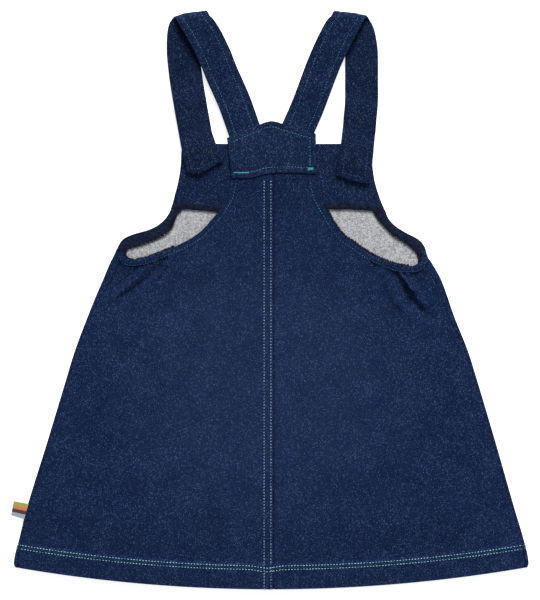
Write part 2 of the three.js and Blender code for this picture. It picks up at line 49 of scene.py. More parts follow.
view = {
    "centre": (-0.5, 0.0),  # the point under the middle of the picture
    "height": 1800,
    "tall": 600,  # what the picture's height takes in
    "sensor": 36,
}
studio = {
    "floorTone": 0.9,
    "floorGlow": 0.7,  # a lit table, so that shadows on it stay light
    "floorSize": 6.0,
    "worldTone": (0.93, 0.96, 1.0),
    "worldStrength": 0.28,
    "keyPlace": (0.7, 5.0, 4.1),
    "keySize": 2.2,
    "keyPower": 566,
    "fillPlace": (1.2, -0.9, 2.0),
    "fillSize": 1.6,
    "fillPower": 8,
}


def addObject(name, data):
    made = bpy.data.objects.new(name, data)
    scene.collection.objects.link(made)
    return made


def addCamera():
    data = bpy.data.cameras.new("camera")
    data.sensor_width = view["sensor"]
    data.lens = view["sensor"] * view["height"] / view["tall"]
    camera = addObject("camera", data)
    x, y = view["centre"]
    camera.location = (x * mm, y * mm, view["height"] * mm)
    scene.camera = camera


def addLight(name, place, size, power):
    data = bpy.data.lights.new(name, "AREA")
    data.size = size
    data.energy = power
    light = addObject(name, data)
    light.location = place
    direction = -light.location
    light.rotation_euler = direction.to_track_quat("-Z", "Y").to_euler()


def newMaterial(name, values):
    material = bpy.data.materials.new(name)
    material.use_nodes = True
    tree = material.node_tree
    surface = tree.nodes["Principled BSDF"].inputs
    for label, value in values.items():
        surface[label].default_value = value
    return material, tree, surface


def addStudio():
    world = bpy.data.worlds.new("studio")
    world.use_nodes = True
    background = world.node_tree.nodes["Background"]
    background.inputs["Color"].default_value = (*studio["worldTone"], 1)
    background.inputs["Strength"].default_value = studio["worldStrength"]
    scene.world = world
    scene.view_settings.view_transform = "Standard"
    addLight("keyLight", studio["keyPlace"], studio["keySize"], studio["keyPower"])
    addLight("fillLight", studio["fillPlace"], studio["fillSize"], studio["fillPower"])
    half = studio["floorSize"] / 2
    mesh = bpy.data.meshes.new("floor")
    mesh.from_pydata([(-half, -half, 0), (half, -half, 0), (half, half, 0), (-half, half, 0)], [], [(0, 1, 2, 3)])
    floor = addObject("floor", mesh)
    floor.location.z = -0.0003
    values = {"Base Color": (studio["floorTone"],) * 3 + (1,), "Roughness": 0.9}
    values |= {"Emission Color": (1, 1, 1, 1), "Emission Strength": studio["floorGlow"]}
    mesh.materials.append(newMaterial("floorPaint", values)[0])


addCamera()
addStudio()

print("shader groups")


def newGroup(name, colours, floats=()):
    # A shader group that makes a colour and a height from a place, some colours and some values
    tree = bpy.data.node_groups.new(name, "ShaderNodeTree")
    face = tree.interface
    face.new_socket("Vector", in_out="INPUT", socket_type="NodeSocketVector")
    for label in colours:
        face.new_socket(label, in_out="INPUT", socket_type="NodeSocketColor")
    for label, value in floats:
        face.new_socket(label, in_out="INPUT", socket_type="NodeSocketFloat").default_value = value
    face.new_socket("Color", in_out="OUTPUT", socket_type="NodeSocketColor")
    face.new_socket("Height", in_out="OUTPUT", socket_type="NodeSocketFloat")
    return tree, tree.nodes.new("NodeGroupInput").outputs, tree.nodes.new("NodeGroupOutput").inputs


def addNode(tree, kind, inputs=None, **settings):
    node = tree.nodes.new(kind)
    for key, value in settings.items():
        setattr(node, key, value)
    for key, value in (inputs or {}).items():
        if isinstance(value, bpy.types.NodeSocket):
            tree.links.new(value, node.inputs[key])
        else:
            node.inputs[key].default_value = value
    return node


def mixColour(tree, factor, first, second, blend="MIX"):
    node = tree.nodes.new("ShaderNodeMix")
    node.data_type = "RGBA"
    node.blend_type = blend
    for key, value in ((0, factor), (6, first), (7, second)):
        if isinstance(value, bpy.types.NodeSocket):
            tree.links.new(value, node.inputs[key])
        else:
            node.inputs[key].default_value = value
    return node.outputs[2]


def spread(tree, value, low, high):  # a value from low to high, stretched to 0 to 1
    inputs = {"Value": value, "From Min": low, "From Max": high}
    return addNode(tree, "ShaderNodeMapRange", inputs, interpolation_type="SMOOTHSTEP").outputs["Result"]


def math2(tree, operation, first, second):
    return addNode(tree, "ShaderNodeMath", {0: first, 1: second}, operation=operation).outputs[0]


def cellTone(tree, place, size, grain):
    # A random tone for each small cell, such as a knitted loop, broken up by finer noise
    shaped = addNode(tree, "ShaderNodeMapping", {"Vector": place, "Scale": size}).outputs[0]
    cells = addNode(tree, "ShaderNodeTexVoronoi", {"Vector": shaped, "Scale": 1.0})
    tone = addNode(tree, "ShaderNodeSeparateColor", {0: cells.outputs["Color"]}).outputs[0]
    fine = addNode(tree, "ShaderNodeTexNoise", {"Vector": place, "Scale": grain, "Detail": 2.0}).outputs["Fac"]
    mixed = math2(tree, "ADD", math2(tree, "MULTIPLY", tone, 0.8), math2(tree, "MULTIPLY", fine, 0.2))
    return mixed, cells.outputs["Distance"], fine


def makeKnitGroup():
    # Denim-look jersey: every loop has its own tone; painted light makes the skirt paler in its middle, and painted
    # shade makes it darker at its top
    tree, source, sink = newGroup("knitDenim", ("Dark", "Middle", "Pale"), (("Fade", 0.085), ("PaintedShade", 0.21)))
    place = source["Vector"]
    tone, loop, fine = cellTone(tree, place, (1800.0, 1400.0, 1500.0), 2300.0)
    cloud = addNode(tree, "ShaderNodeTexNoise", {"Vector": place, "Scale": 40.0, "Detail": 2.0}).outputs["Fac"]
    tone = math2(tree, "ADD", tone, math2(tree, "MULTIPLY", math2(tree, "SUBTRACT", cloud, 0.5), 0.1))
    colour = mixColour(tree, spread(tree, tone, 0.14, 0.42), source["Dark"], source["Middle"])
    colour = mixColour(tree, spread(tree, tone, 0.8, 0.88), colour, source["Pale"])
    # painted light: a soft pool of paler colour round the skirt's middle, with some random paler patches added
    centred = addNode(tree, "ShaderNodeMapping", {"Vector": place, "Location": (0.01, 0.08, 0.0)}).outputs[0]
    far = addNode(tree, "ShaderNodeVectorMath", {0: centred}, operation="LENGTH").outputs["Value"]
    paintedLightAndPatches = math2(tree, "MULTIPLY", spread(tree, far, 0.2, 0.06), source["Fade"])
    paintedLightAndPatches = math2(tree, "ADD", paintedLightAndPatches, math2(tree, "MULTIPLY", spread(tree, cloud, 0.3, 0.7), 0.03))
    colour = mixColour(tree, paintedLightAndPatches, colour, source["Pale"])
    # painted shade: the colour goes darker towards the top
    up = addNode(tree, "ShaderNodeSeparateXYZ", {0: place}).outputs["Y"]
    paintedShade = math2(tree, "MULTIPLY", spread(tree, up, -0.02, 0.1), source["PaintedShade"])
    colour = mixColour(tree, paintedShade, colour, source["Dark"])
    ribs = {"Vector": place, "Scale": 320.0, "Distortion": 1.2, "Detail": 1.0, "Detail Scale": 2.0}
    wales = addNode(tree, "ShaderNodeTexWave", ribs, bands_direction="DIAGONAL").outputs["Fac"]
    height = math2(tree, "ADD", math2(tree, "MULTIPLY", wales, 0.4), math2(tree, "MULTIPLY", fine, 0.5))
    height = math2(tree, "SUBTRACT", height, math2(tree, "MULTIPLY", loop, 0.5))
    tree.links.new(colour, sink["Color"])
    tree.links.new(height, sink["Height"])
    return tree


def makeTerryGroup():
    # Loop-back inside: small pale loops with darker ground between them
    tree, source, sink = newGroup("terryLoops", ("Ground", "Loop"))
    place = source["Vector"]
    tone, loop, fine = cellTone(tree, place, (1150.0, 1000.0, 1000.0), 1500.0)
    cloud = addNode(tree, "ShaderNodeTexNoise", {"Vector": place, "Scale": 150.0, "Detail": 3.0}).outputs["Fac"]
    tone = math2(tree, "ADD", tone, math2(tree, "MULTIPLY", math2(tree, "SUBTRACT", cloud, 0.5), 0.5))
    colour = mixColour(tree, spread(tree, tone, 0.05, 0.95), source["Ground"], source["Loop"])
    height = math2(tree, "SUBTRACT", fine, math2(tree, "MULTIPLY", loop, 0.9))
    tree.links.new(colour, sink["Color"])
    tree.links.new(height, sink["Height"])
    return tree


def makeThreadGroup():
    # Twisted sewing thread: its ply shows as fine stripes of painted shade and light, and its tone changes along the
    # row
    tree, source, sink = newGroup("sewingThread", ("Shade", "Light"))
    place = source["Vector"]
    stripes = {"Vector": place, "Scale": 900.0}
    ply = addNode(tree, "ShaderNodeTexWave", stripes, bands_direction="DIAGONAL").outputs["Fac"]
    tone = addNode(tree, "ShaderNodeTexNoise", {"Vector": place, "Scale": 240.0, "Detail": 2.0}).outputs["Fac"]
    amount = math2(tree, "ADD", math2(tree, "MULTIPLY", ply, 0.3), spread(tree, tone, 0.3, 0.65))
    colour = mixColour(tree, amount, source["Shade"], source["Light"])
    tree.links.new(colour, sink["Color"])
    tree.links.new(ply, sink["Height"])
    return tree


groups = {"knit": makeKnitGroup(), "terry": makeTerryGroup(), "thread": makeThreadGroup()}


def clothMaterial(name, group, colours, roughness=0.95, bump=0.0003, fixed=None):
    material, tree, surface = newMaterial(name, {"Roughness": roughness, "Specular IOR Level": 0.08})
    inputs = {label: (*colour, 1) for label, colour in colours.items()} | (fixed or {})
    inputs["Vector"] = tree.nodes.new("ShaderNodeTexCoord").outputs["Object"]
    node = addNode(tree, "ShaderNodeGroup", inputs, node_tree=groups[group])
    relief = addNode(tree, "ShaderNodeBump", {"Height": node.outputs["Height"], "Distance": bump, "Strength": 0.7})
    tree.links.new(node.outputs["Color"], surface["Base Color"])
    tree.links.new(relief.outputs[0], surface["Normal"])
    return material


denim = {"Dark": (0.0006, 0.0035, 0.016), "Middle": (0.0058, 0.0155, 0.0548), "Pale": (0.048, 0.082, 0.182)}
smallDenim = {"Dark": (0.0006, 0.0035, 0.016), "Middle": (0.0056, 0.0155, 0.0545), "Pale": (0.06, 0.1, 0.2)}
turnedDenim = {"Dark": (0.0015, 0.0035, 0.012), "Middle": (0.0065, 0.0115, 0.031), "Pale": (0.035, 0.045, 0.08)}
shades = {"yoke": 0.93, "strap": 0.86, "facing": 0.8, "strapInside": 0.68}  # darker copies of the skirt's denim for these pieces: painted shade


def shadedCopy(colours, share):
    return {label: tuple(share * value for value in colour) for label, colour in colours.items()}


plain = {"Fade": 0.0, "PaintedShade": 0.0}
greys = {"Ground": (0.235, 0.24, 0.254), "Loop": (0.51, 0.512, 0.532)}
materials = {
    "denim": clothMaterial("denimKnit", "knit", denim),
    "casing": clothMaterial("denimCasing", "knit", turnedDenim, fixed=plain),
    "terry": clothMaterial("greyTerry", "terry", greys, bump=0.0005),
}
# painted shade: each of these pieces gets a darkened copy of the denim
for part, share in shades.items():
    materials[part] = clothMaterial(f"{part}Denim", "knit", shadedCopy(smallDenim, share), fixed=plain)
threads = {  # the shade, the light and the roughness of each
    "turquoiseThread": ((0.005, 0.05, 0.08), (0.09, 0.33, 0.4), 0.6),
    "paleThread": ((0.06, 0.19, 0.27), (0.58, 0.77, 0.95), 0.6),
    "tealThread": ((0.001, 0.024, 0.042), (0.008, 0.095, 0.13), 0.6),
    "dimThread": ((0.003, 0.025, 0.05), (0.03, 0.14, 0.2), 0.6),
    "dottedThread": ((0.01, 0.02, 0.05), (0.065, 0.105, 0.2), 0.6),
    "navyThread": ((0.003, 0.006, 0.02), (0.02, 0.03, 0.07), 0.6),
    "overlockThread": ((0.002, 0.003, 0.01), (0.012, 0.016, 0.035), 0.7),
    "overlockSpeck": ((0.08, 0.09, 0.12), (0.7, 0.72, 0.76), 0.7),
}
for name, (shade, light, roughness) in threads.items():
    materials[name] = clothMaterial(name, "thread", {"Shade": shade, "Light": light}, roughness)

print("shape helpers")

cloth = 1.3
gap = 0.3


def ramp(value, low, high):  # smooth step from 0 at low to 1 at high
    share = np.clip((np.asarray(value, float) - low) / (high - low), 0, 1)
    return share * share * (3 - 2 * share)


def bell(value, middle, width):
    return np.exp(-(((np.asarray(value, float) - middle) / width) ** 2))


def unit(vectors):
    return vectors / np.linalg.norm(vectors, axis=1)[:, None]


def tableOf(columns, rows):
    return {"columns": columns.split(), "rows": rows}


def readTable(table, column, y):
    # Monotone cubic reading of one column, by the table's first column
    rows = np.array(sorted(table["rows"]), float)
    ys, values = rows[:, 0], rows[:, table["columns"].index(column)]
    steps = np.diff(ys)
    slopes = np.diff(values) / steps
    tangents = np.empty(len(ys))
    tangents[0] = slopes[0]
    tangents[-1] = slopes[-1]
    same = slopes[:-1] * slopes[1:] > 0
    harmonic = 2 * slopes[:-1] * slopes[1:] / np.where(same, slopes[:-1] + slopes[1:], 1)
    tangents[1:-1] = np.where(same, harmonic, 0)
    y = np.clip(np.asarray(y, float), ys[0], ys[-1])
    i = np.clip(np.searchsorted(ys, y, side="right") - 1, 0, len(steps) - 1)
    t = (y - ys[i]) / steps[i]
    start = (1 + 2 * t) * (1 - t) ** 2 * values[i] + t * (1 - t) ** 2 * steps[i] * tangents[i]
    end = t * t * (3 - 2 * t) * values[i + 1] + t * t * (t - 1) * steps[i] * tangents[i + 1]
    return start + end


def crumple(x, y, seed=0.0):  # shallow unevenness of cloth that was smoothed by hand
    waves = [(0.031, 0.017, 1.0), (-0.019, 0.043, 0.8), (0.071, 0.029, 0.4)]
    waves += [(0.052, -0.083, 0.3), (0.11, 0.097, 0.16)]
    total = 0
    for i, (alongX, alongY, amount) in enumerate(waves):
        total = total + amount * np.sin(alongX * x + alongY * y + 2.1 * i + seed)
    return total / 2.66


def quads(*corners):
    return np.stack(corners, -1).reshape(-1, 4)


def wallObject(name, under, over, topMaterial, underMaterial, rim=0.45, rimsBelow=False):
    # A closed wall between two grids of points in millimetres, with its rims rounded
    rows, columns, _ = under.shape
    points = np.concatenate([under.reshape(-1, 3), over.reshape(-1, 3)]) * mm
    index = np.arange(rows * columns).reshape(rows, columns)
    top = index + rows * columns
    upper = quads(top[:-1, :-1], top[1:, :-1], top[1:, 1:], top[:-1, 1:])
    lower = quads(index[:-1, :-1], index[:-1, 1:], index[1:, 1:], index[1:, :-1])
    left = quads(top[:-1, 0], index[:-1, 0], index[1:, 0], top[1:, 0])
    right = quads(top[:-1, -1], top[1:, -1], index[1:, -1], index[:-1, -1])
    head = quads(top[0, :-1], top[0, 1:], index[0, 1:], index[0, :-1])
    foot = quads(top[-1, 1:], top[-1, :-1], index[-1, :-1], index[-1, 1:])
    faces = np.concatenate([upper, lower, left, right, head, foot])
    mesh = bpy.data.meshes.new(name)
    mesh.from_pydata(points.tolist(), [], faces.tolist())
    mesh.materials.append(topMaterial)
    mesh.materials.append(underMaterial)
    slots = np.zeros(len(faces), np.int32)
    slots[len(upper) : None if rimsBelow else len(upper) + len(lower)] = 1
    mesh.polygons.foreach_set("material_index", slots)
    made = addObject(name, mesh)
    if rim:
        bevel = made.modifiers.new("rim", "BEVEL")
        bevel.width = rim * mm
        bevel.segments = 3
        bevel.limit_method = "ANGLE"
        bevel.angle_limit = math.radians(60)
        made = flattened(made)
    made.data.shade_smooth()
    return made


def flattened(source):  # the evaluated object as a plain mesh
    graph = bpy.context.evaluated_depsgraph_get()
    mesh = bpy.data.meshes.new_from_object(source.evaluated_get(graph), depsgraph=graph)
    name = source.name
    old = source.data
    bpy.data.objects.remove(source)
    if isinstance(old, bpy.types.Mesh):
        bpy.data.meshes.remove(old)
    mesh.name = name
    made = addObject(name, mesh)
    return made


def finishPiece(piece, nodes=()):
    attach(piece, "root")
    if nodes:
        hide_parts(*nodes)
    return piece


print("stitch tree")


def makeStitchTree():
    tree = bpy.data.node_groups.new("stitchRow", "GeometryNodeTree")
    face = tree.interface
    face.new_socket("Geometry", in_out="INPUT", socket_type="NodeSocketGeometry")
    for label in ("Pitch", "Length", "Thickness", "Slant", "Sway"):
        face.new_socket(label, in_out="INPUT", socket_type="NodeSocketFloat")
    face.new_socket("Seed", in_out="INPUT", socket_type="NodeSocketInt")
    face.new_socket("Material", in_out="INPUT", socket_type="NodeSocketMaterial")
    face.new_socket("Geometry", in_out="OUTPUT", socket_type="NodeSocketGeometry")
    source = tree.nodes.new("NodeGroupInput").outputs
    sink = tree.nodes.new("NodeGroupOutput")
    curve = addNode(tree, "GeometryNodeMeshToCurve", {"Mesh": source["Geometry"]}).outputs[0]
    steps = {"Curve": curve, "Length": source["Pitch"]}
    spaced = addNode(tree, "GeometryNodeResampleCurve", steps, mode="LENGTH").outputs[0]
    ball = addNode(tree, "GeometryNodeMeshUVSphere", {"Segments": 8, "Rings": 6, "Radius": 0.5}).outputs["Mesh"]
    sizes = {"X": source["Length"], "Y": source["Thickness"], "Z": source["Thickness"]}
    size = addNode(tree, "ShaderNodeCombineXYZ", sizes).outputs[0]
    stitch = addNode(tree, "GeometryNodeTransform", {"Geometry": ball, "Scale": size}).outputs[0]
    tangent = tree.nodes.new("GeometryNodeInputTangent").outputs[0]
    along = addNode(tree, "FunctionNodeAlignRotationToVector", {"Vector": tangent}, axis="X", pivot_axis="AUTO")
    chance = {2: math2(tree, "MULTIPLY", source["Sway"], -1.0), 3: source["Sway"], "Seed": source["Seed"]}
    sway = addNode(tree, "FunctionNodeRandomValue", chance, data_type="FLOAT").outputs[1]
    angle = math2(tree, "ADD", sway, source["Slant"])
    turn = addNode(tree, "ShaderNodeCombineXYZ", {"Z": angle}).outputs[0]
    angles = {"Rotation": along.outputs[0], "Rotate By": turn}
    turned = addNode(tree, "FunctionNodeRotateRotation", angles, rotation_space="LOCAL").outputs[0]
    copies = {"Points": spaced, "Instance": stitch, "Rotation": turned}
    placed = addNode(tree, "GeometryNodeInstanceOnPoints", copies).outputs[0]
    real = addNode(tree, "GeometryNodeRealizeInstances", {"Geometry": placed}).outputs[0]
    smooth = addNode(tree, "GeometryNodeSetShadeSmooth", {"Geometry": real}).outputs[0]
    painted = addNode(tree, "GeometryNodeSetMaterial", {"Geometry": smooth, "Material": source["Material"]})
    tree.links.new(painted.outputs[0], sink.inputs[0])
    return tree


stitchTree = makeStitchTree()


def socketId(tree, label):
    items = tree.interface.items_tree
    return next(item.identifier for item in items if item.name == label and item.in_out == "INPUT")


def stitchRows(name, rows, material, pitch, length, thick, slant, sway, seed):
    # Each row is a list of points in millimetres that a line of stitches follows
    points, edges = [], []
    for row in rows:
        first = len(points)
        points += (np.asarray(row, float) * mm).tolist()
        edges += [(i, i + 1) for i in range(first, len(points) - 1)]
    mesh = bpy.data.meshes.new(name)
    mesh.from_pydata(points, edges, [])
    made = addObject(name, mesh)
    modifier = made.modifiers.new("stitches", "NODES")
    modifier.node_group = stitchTree
    values = {"Pitch": pitch * mm, "Length": length * mm, "Thickness": thick * mm}
    values |= {"Slant": slant, "Sway": sway, "Seed": seed, "Material": materials[material]}
    for label, value in values.items():
        modifier[socketId(stitchTree, label)] = value
    finishPiece(flattened(made))


print("front panel")

# Bib and skirt outline, from the bib's top edge to the hem at the side seams
outline = tableOf(
    "y left right",
    [
        (156, -88, 103.5), (146, -89, 102.8), (136, -89.5, 101.8), (122, -91.5, 103.5), (101, -96.6, 109.5),
        (90, -99.8, 114.3), (82, -104.5, 117.5), (75, -112, 123.4), (70, -122, 130.5), (66, -136, 137.5),
        (62, -145.5, 145.5), (57, -150.4, 151.5), (50, -154, 155.2), (43.3, -157.1, 156.9), (38, -159.8, 160.6),
        (31, -162.9, 164.8), (22, -166.6, 169.8), (6, -173.6, 176), (-16, -182.5, 183.5), (-52, -196, 197.8),
        (-80, -204.5, 206.5), (-144, -223.8, 225.5), (-208, -243.5, 243.8), (-242, -252, 253.8),
        (-256, -255.5, 257), (-263, -256.4, 257.9), (-266.5, -255, 256.5),
    ],
)
# How far in from the outline the side seams lie on the back, and the height of the side folds
sideFolds = tableOf(
    "y left right height",
    [
        (46, 9.5, 8.5, 4.8), (36, 9.2, 8.5, 4.7), (22, 8.5, 7, 4), (6, 6, 6, 3.3), (-3, 4.4, 6, 3.2),
        (-16, 3, 6, 3.2), (-32, 2.3, 4.5, 3.2), (-52, 2.3, 2.6, 3.2), (-208, 2.3, 2.3, 3.2), (-241.5, 3, 3, 3.2),
        (-244.5, 3.4, 3.4, 5.5), (-266.5, 3.4, 3.4, 5.5),
    ],
)
hem = {
    "side": -266.5,
    "bow": 22,
    "bowFrom": -100,
    "turnUp": 24.5,
    "step": 2.5,
    "stitches": (19.0, 22.4),  # the two rows above the edge, and the looping threads between them
    "loopers": (19.2, 20.7, 22.2),
    "seamDip": 2.1,  # how far the rows dip where they cross the centre-back seam
}
foldStart = {"left": 52, "right": 44}  # from here down the front turns over onto the back
turnLength = 4  # and is turned over fully so much lower
casingAndShade = {"low": 30, "high": 62, "wide": 8}  # where the front's inside takes the casing's colour at the armhole corners: partly casing cloth, partly painted shade
buttonsInBib = {"left": (-72.5, 146), "right": (83, 137)}
buttonhole = {"long": 17, "wide": 2.4, "paintedShade": 20}
lift = {"height": 2.7, "flat": 14, "end": 28}


def clothThickness(y):  # single cloth, and double where the hem is turned up
    return cloth * (1 + ramp(-y, -hem["side"] - hem["turnUp"], -hem["side"] - hem["turnUp"] + hem["step"]))


def bowed(y, x, half):  # the rows sink in the middle towards the hem
    bow = hem["bow"] * ramp(-np.asarray(y, float), -hem["bowFrom"], -hem["side"])
    return y - bow * (1 - (x / half) ** 2)


def buttonLift(x, y):
    near = [np.hypot(x - bx, y - by) for bx, by in buttonsInBib.values()]
    return lift["height"] * (1 - ramp(np.minimum(*near), lift["flat"], lift["end"]))


def rowHeights(low, high, step):
    count = max(int(round((high - low) / step)), 1)
    return np.linspace(high, low, count + 1)


def rowsDown(bands):  # from bands of low, high and step, the highest first
    return np.concatenate([rowHeights(*band)[:-1] for band in bands] + [[bands[-1][0]]])


def foldedEnd(side, y, steps=9):
    # The end of one row of the front, from the flat cloth round to the seam: distances out and heights
    height = float(readTable(sideFolds, "height", y))
    thick = float(clothThickness(y))
    edge = abs(float(readTable(outline, side, y)))
    turn = math.pi * float(ramp(foldStart[side] - y, 0, turnLength))
    closed = turn > 0.99 * math.pi
    lip = max(float(readTable(sideFolds, side, y)) - height / 2, 0.6) if closed else 0.6
    run = math.pi * height / 2
    radius = run / turn if turn > 0.001 else 0
    if radius == 0:
        reach = run + lip
    elif turn > math.pi / 2:
        reach = radius
    else:
        reach = radius * math.sin(turn) + lip * math.cos(turn)
    outer, inner = [], []
    for step in range(steps + 1):
        angle = turn * step / steps
        if radius:
            outer.append((radius * math.sin(angle), radius * (1 - math.cos(angle))))
            bend = radius - thick
            inner.append((bend * math.sin(angle), thick + bend * (1 - math.cos(angle))))
        else:
            outer.append((run * step / steps, 0))
            inner.append((run * step / steps, thick))
    for line in (outer, inner):
        out, z = line[-1]
        for part in (1 / 3, 2 / 3, 1):
            line.append((out + part * lip * math.cos(turn), z + part * lip * math.sin(turn)))
    start = edge - reach
    return [[(start + out, z) for out, z in line] for line in (outer, inner)]


def frontGrids(columns=74):
    bands = [(90, 156, 3.0), (50, 90, 1.5), (34, 50, 0.8), (-30, 34, 3.2), (-240, -30, 6.0)]
    bands += [(-247, -240, 0.7), (-263, -247, 3.0), (-266.5, -263, 0.9)]
    ys = rowsDown(bands)
    under, over = [], []
    for y in ys:
        ends = {side: foldedEnd(side, y) for side in sides}
        halves = {side: abs(float(readTable(outline, side, y))) for side in sides}
        for target, which in ((under, 0), (over, 1)):
            left = [(-out, z) for out, z in ends["left"][which]]
            right = list(ends["right"][which])
            flat = np.linspace(left[0][0], right[0][0], columns + 2)[1:-1]
            line = left[::-1] + [(x, left[0][1]) for x in flat] + right
            x = np.array([place[0] for place in line])
            z = np.array([place[1] for place in line])
            half = np.where(x < 0, halves["left"], halves["right"])
            high = bowed(y, x, half)
            z = z + buttonLift(x, high)
            target.append(np.stack([x, high, z], -1))
    return np.array(under), np.array(over)


def withButtonholes(piece):
    sizes = np.array([buttonhole["long"], buttonhole["wide"], buttonhole["paintedShade"]]) * mm
    for x, y in buttonsInBib.values():
        shape = bmesh.new()
        bmesh.ops.create_cube(shape, size=1)
        bmesh.ops.scale(shape, vec=sizes, verts=shape.verts)
        bmesh.ops.translate(shape, vec=(x * mm, y * mm, 0), verts=shape.verts)
        mesh = bpy.data.meshes.new("buttonhole")
        shape.to_mesh(mesh)
        shape.free()
        cutter = addObject("buttonhole", mesh)
        cut = piece.modifiers.new("buttonhole", "BOOLEAN")
        cut.operation = "DIFFERENCE"
        cut.object = cutter
        piece = flattened(piece)
        bpy.data.objects.remove(cutter)
        bpy.data.meshes.remove(mesh)
    return piece


def makeFront():
    under, over = frontGrids()
    piece = wallObject("frontPanel", under, over, materials["terry"], materials["denim"], rimsBelow=True)
    piece = withButtonholes(piece)
    piece.data.materials.append(materials["casing"])
    for face in piece.data.polygons:  # the cloth that the armhole's elastic pulls over at the side seams, with painted shade in the gap under the backs' edges
        x, y, _ = face.center / mm
        edge = abs(readTable(outline, "left" if x < 0 else "right", y))
        if face.material_index == 0 and casingAndShade["low"] < y < casingAndShade["high"] and abs(x) > edge - casingAndShade["wide"]:
            face.material_index = 2
    finishPiece(piece, ["front_panel"])
    return piece


front = makeFront()

print("bib facing and front casings")

facing = {
    "bottom": 90,
    "under": cloth + gap,
    "wave": 0.6,
    "strip": 5.8,
    "slantReach": 10,
    "lift": 0.25,
    "liftReach": (2, 14),
    "slant": [(-100, 0.6), (-82, 0.3), (-52, -2.0), (0, -0.5), (40, 1.2), (54, 1.2), (100, -1.0), (115, -1.4)],
}


def facingDrop(x):  # how far the lower edge lies above or below its level, at places across
    places = np.array(facing["slant"], float)
    return np.interp(x, places[:, 0], places[:, 1]) + facing["wave"] * crumple(5 * x, 0 * x, 1.3)


def makeFacing():
    ys = rowHeights(facing["bottom"], 156, 1.6)
    share = np.linspace(0, 1, 118)
    y = np.repeat(ys[:, None], len(share), 1)
    left = readTable(outline, "left", y)
    right = readTable(outline, "right", y)
    x = left + (right - left) * share
    above = y - facing["bottom"]
    low, high = facing["liftReach"]
    waved = facingDrop(x) * ramp(-above, -facing["slantReach"], 0)
    raised = facing["lift"] * (1 + crumple(3 * x, 3 * y, 0.4)) * ramp(-above, -high, -low)
    z = facing["under"] + buttonLift(x, y) + raised
    under = np.stack([x, y + waved, z], -1)
    over = under + [0, 0, cloth]
    piece = wallObject("bibFacing", under, over, materials["facing"], materials["facing"])
    piece = withButtonholes(piece)
    piece.data.materials.append(materials["overlockThread"])
    for face in piece.data.polygons:  # the overlocked strip along the lower edge, painted near black: the overlock thread's own colour, and painted shade under the turned edge
        x, y, _ = face.center / mm
        if y < facing["bottom"] + facing["strip"] + facingDrop(x):
            face.material_index = 2
    finishPiece(piece, ["bib_facing"])
    return piece


bibFacing = makeFacing()

casing = {
    "wave": 0.2,
    "waveLength": 5.5,
    "leave": {"left": 57, "right": 50},  # from here down the strip leaves the outline
    "overlockTo": {"left": 45.5, "right": 38.5},  # and this far down its inner edge is overlocked
    "outerEnd": {
        "left": [(-150, 50), (-149, 44.5), (-145, 39)],
        "right": [(153, 44.5), (152.4, 38.5), (148.5, 32.5)],
    },
    "inner": {
        "left": [
            (-88.5, 89.7), (-93, 86), (-96, 78.5), (-99, 71.4), (-108.4, 63.8), (-126, 56),
            (-138, 52.6), (-142.8, 50.6), (-144.3, 47), (-142.2, 43), (-136, 41),
        ],
        "right": [
            (102, 89.7), (104, 86), (109, 78.9), (116, 71.2), (123.7, 63.7), (135.5, 56.4),
            (142.3, 50.6), (146.4, 46), (148.3, 41), (146.9, 36.8), (142.5, 34), (136, 31.6),
        ],
    },
}


def lengthsAlong(points):
    return np.r_[0, np.cumsum(np.linalg.norm(np.diff(points, axis=0), axis=1))]


def pathAlong(points, spacing):
    # Points spaced evenly along a line, with the distance of each from its start
    points = np.asarray(points, float)
    steps = lengthsAlong(points)
    count = max(int(round(steps[-1] / spacing)), 2)
    distance = np.linspace(0, steps[-1], count + 1)
    return np.stack([np.interp(distance, steps, points[:, i]) for i in range(points.shape[1])], -1), distance


def catmull(points, per):
    # A smooth line through the points, with so many steps between each two
    points = np.asarray(points, float)
    padded = np.vstack([2 * points[0] - points[1], points, 2 * points[-1] - points[-2]])
    out = []
    for i in range(1, len(padded) - 2):
        p0, p1, p2, p3 = padded[i - 1 : i + 3]
        for t in np.arange(per) / per:
            square = (2 * p0 - 5 * p1 + 4 * p2 - p3) * t**2
            cube = (3 * p1 - p0 - 3 * p2 + p3) * t**3
            out.append(0.5 * (2 * p1 + (p2 - p0) * t + square + cube))
    out.append(points[-1])
    return np.array(out)


def casingGrid(side):
    ys = rowHeights(casing["leave"][side], facing["bottom"] - gap, 0.5)
    outer = np.stack([readTable(outline, side, ys), ys], -1)
    outer = np.vstack([outer, catmull([outer[-1]] + casing["outerEnd"][side], 6)[1:]])
    inner = catmull(casing["inner"][side], 8)
    outer, distance = pathAlong(outer, 0.9)
    lengths = lengthsAlong(inner)
    share = distance / distance[-1]
    inner = np.stack([np.interp(share * lengths[-1], lengths, inner[:, i]) for i in (0, 1)], -1)
    parts = np.linspace(0, 1, 13)
    plan = outer[:, None, :] + (inner - outer)[:, None, :] * parts[None, :, None]
    wave = np.sin(2 * math.pi * distance / casing["waveLength"] + 0.8 * np.sin(distance / 9))
    hump = np.sin(math.pi * parts) ** 0.7
    rise = casing["wave"] * (1 + wave[:, None]) + 0.2
    flat = ramp(casing["leave"][side] - outer[:, 1], 0, 6)[:, None]
    z = facing["under"] + rise * hump * (1 - flat)
    return np.concatenate([plan, z[..., None]], -1)


casingGrids = {side: casingGrid(side) for side in sides}


def makeCasing(side):
    under = casingGrids[side][:, :: -signs[side]]
    over = under + [0, 0, cloth]
    piece = wallObject(f"frontCasing{side.title()}", under, over, materials["casing"], materials["terry"])
    finishPiece(piece, [f"front_casing_{side}"])


for side in sides:
    makeCasing(side)

print("back panels")

